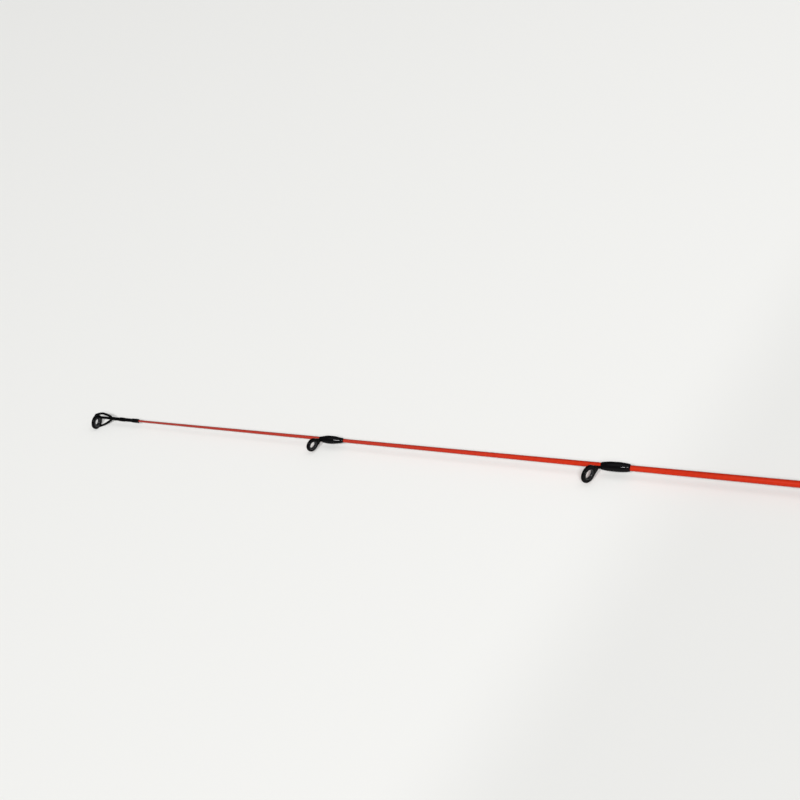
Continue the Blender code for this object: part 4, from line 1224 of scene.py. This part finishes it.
# How far along the hood, its height and the share of its upper corners
stations = [Vector(station) for station in (
    (0.0, roof_y, 0.62), (9 * mm, roof_y, 0.62), (12.7 * mm, roof_y - 0.5 * mm, 0.66),
    (16.55 * mm, shell + 0.8 * mm, 0.9), (19 * mm, shell, 1.0),
)]
sections = []
for start, end in zip(stations, stations[1:]):
    for t in spaced(1, 8)[:-1]:
        size = start.lerp(end, eased(t))
        sections.append((start.x + (end.x - start.x) * t, size.y, size.z))
sections.append((19 * mm, shell, 1.0))
hood = new_body("hood_shell", skinned([
    seat_section(hood_start + x, shell, shell, top, corner * shell) for x, top, corner in sections
]))
joined(hood, [
    plug(hood_start - mm, hood_end + mm, shell_bore, 120),
    foot_pocket(bed_end - mm, bed_end + pocket_depth),
], "DIFFERENCE")
softened(hood, 0.2 * mm, 2, 0.3)
mark_edges(hood, 1.5, 1)
fit_on(hood, dark_anodised, "hood", "hood_metal", "moving_hood")


# Lock nut: a nylon ring with twenty rounded ribs for the fingers and a smooth collar at each end.
# It screws along the barrel and pushes the hood onto the reel's foot.
nut_start = hood_end + 0.3 * mm
nut_length = 12 * mm
nut_bore = 10.9 * mm
nut_ribs = 20
rib_sides = 240


def nut_section(x, low, height):
    """A ring of rounded ribs on a circle."""
    points = []
    for turn in full_turn(rib_sides):
        wave = 0.5 + 0.5 * math.cos(nut_ribs * turn)
        points.append(around(x, low + height * min(wave * 1.9, 1.0) ** 0.8, turn))
    return points


valley = 12 * mm
rib_height = 0.7 * mm
sections = [(0.0, valley - 0.2 * mm, 0.0), (0.2 * mm, valley, 0.0), (1.6 * mm, valley, 0.0)]
sections += [
    (1.7 * mm + rib_height * (1 - math.cos(turn)), valley, rib_height * math.sin(turn))
    for turn in spaced(math.pi / 2, 6)
]
sections += [(nut_length - x, low, height) for x, low, height in reversed(sections)]
nut = skinned([nut_section(nut_start + x, low, height) for x, low, height in sections])
nut_ring = new_body("nut_ring", nut, 40)
joined(nut_ring, [plug(nut_start - mm, nut_start + nut_length + mm, nut_bore, 120)], "DIFFERENCE")
mark_edges(nut_ring, 1.5, 0)
fit_on(nut_ring, black_nylon, "nut", "black_seat", "lock_nut")


# The table: a pale board under the rod, with painted shade on it, which touches it at the lock nut and at
# the tip ring.
# The nut's side is nearly 10 mm lower than the ring's, so the board leans a little along the rod.
table_x = 229.7 * mm
table_z = -12.72 * mm
rest_drop = 9.75 * mm
rest_span = 1188.3 * mm
table_slope = math.atan2(rest_drop, rest_span)
table, tree, surface = new_finish("table", roughness=0.9, specular_ior_level=0.1)
spot = shader(tree, "TexCoord", "Object")
place = {axis: shader(tree, "SeparateXYZ", axis, {0: spot}) for axis in "XY"}
across = place["Y"] * 0.2175 + (place["X"] * -0.976 + 0.9283)


def painted_shade_ramp(value, start, end, dark, interpolation="LINEAR"):
    """Painted shade on the board: darker by this much as the value goes from start to end."""
    return shader(tree, "MapRange", 0, {
        "Value": value, "From Min": start, "From Max": end, "To Max": dark,
    }, interpolation_type=interpolation)


# Painted shade on the board: a soft painted shadow beside the tip, painted darkening where the floor comes
# nearer to the lamps and less light is wanted, and painted darkening that grows along X and along Y
near_tip = painted_shade_ramp(place["Y"], -0.9, -0.3, 1.0, "SMOOTHSTEP") * (
    1.0 - painted_shade_ramp(place["Y"], 0.3, 0.9, 1.0, "SMOOTHSTEP")
)
painted_shadow_beside_tip = near_tip * (
    painted_shade_ramp(across, -0.035, 0.02, 0.08, "SMOOTHSTEP") - painted_shade_ramp(across, 0.03, 0.6, 0.08, "SMOOTHSTEP")
)
painted_floor_shade = (painted_shadow_beside_tip + painted_shade_ramp(place["Y"], 0.3, 2.6, 0.4)) + (
    painted_shade_ramp(place["X"], 0.8, 1.5, 0.066) + painted_shade_ramp(place["Y"], -0.45, 0.3, 0.138)
)
# The board's pale colour, darkened by all the painted shade
fill(surface, {"Base Color": tint(painted_floor_shade, (0.978, 0.978, 0.956, 1), (0, 0, 0, 1))})
board = bmesh.new()
corners = [board.verts.new((x, y, 0.0)) for x, y in ((-6, -6), (8, -6), (8, 6), (-6, 6))]
board.faces.new(corners)
floor = new_body("table_top", board)
floor.data.materials.append(table)
floor.matrix_world = Matrix.Translation((table_x, 0, table_z)) @ Matrix.Rotation(-table_slope, 4, "Y")


# Light: a broad soft panel on the camera's side, a small one that gives the varnish its short
# highlights, a weak one overhead, and a pale room
def soft_panel(name, place, target, width, power):
    lamp = bpy.data.lights.new(name, "AREA")
    lamp.shape = "DISK"
    lamp.size = width
    lamp.energy = power
    panel = bpy.data.objects.new(name, lamp)
    bpy.context.scene.collection.objects.link(panel)
    panel.location = place
    panel.rotation_euler = (Vector(target) - Vector(place)).to_track_quat("-Z", "Y").to_euler()


soft_panel("window", (-0.25, 3.75, 3.05), (1.2, 0, 0), 1.1, 144.0)
soft_panel("glint", (1.1, 3.8, 3.15), (1.2, 0, 0), 0.6, 117.0)
soft_panel("ceiling", (0.9, 0.3, 2.2), (0.9, 0, 0), 2.4, 10)
room = bpy.data.worlds.new("room")
room.use_nodes = True
backdrop = room.node_tree.nodes["Background"]
backdrop.inputs["Color"].default_value = (1, 1, 1, 1)
backdrop.inputs["Strength"].default_value = 0.22
bpy.context.scene.world = room


# Camera: it looks down on the last 280 mm of the rod from the side of the guides, through a lens
# whose focal length is given in pixels of the square photograph
photo_width = 800
focal_pixels = 2244
right = Vector((-0.951, -0.288, -0.110))
toward = Vector((-0.297, 0.756, 0.5837)).normalized()
right = (right - toward * right.dot(toward)).normalized()
up = toward.cross(right)
lens = bpy.data.cameras.new("camera")
lens.sensor_width = 36
lens.lens = focal_pixels / photo_width * lens.sensor_width
lens.clip_start = 0.01
lens.clip_end = 50
camera = bpy.data.objects.new("camera", lens)
bpy.context.scene.collection.objects.link(camera)
looked_at = Vector((1.3280, 0, 0))
distance = 0.8646
aim = looked_at + 0.03371 * right + 0.01451 * up + distance * toward
camera.matrix_world = Matrix((
    (right.x, up.x, toward.x, aim.x), (right.y, up.y, toward.y, aim.y),
    (right.z, up.z, toward.z, aim.z), (0, 0, 0, 1),
))
bpy.context.scene.camera = camera
bpy.context.scene.view_settings.view_transform = "Standard"
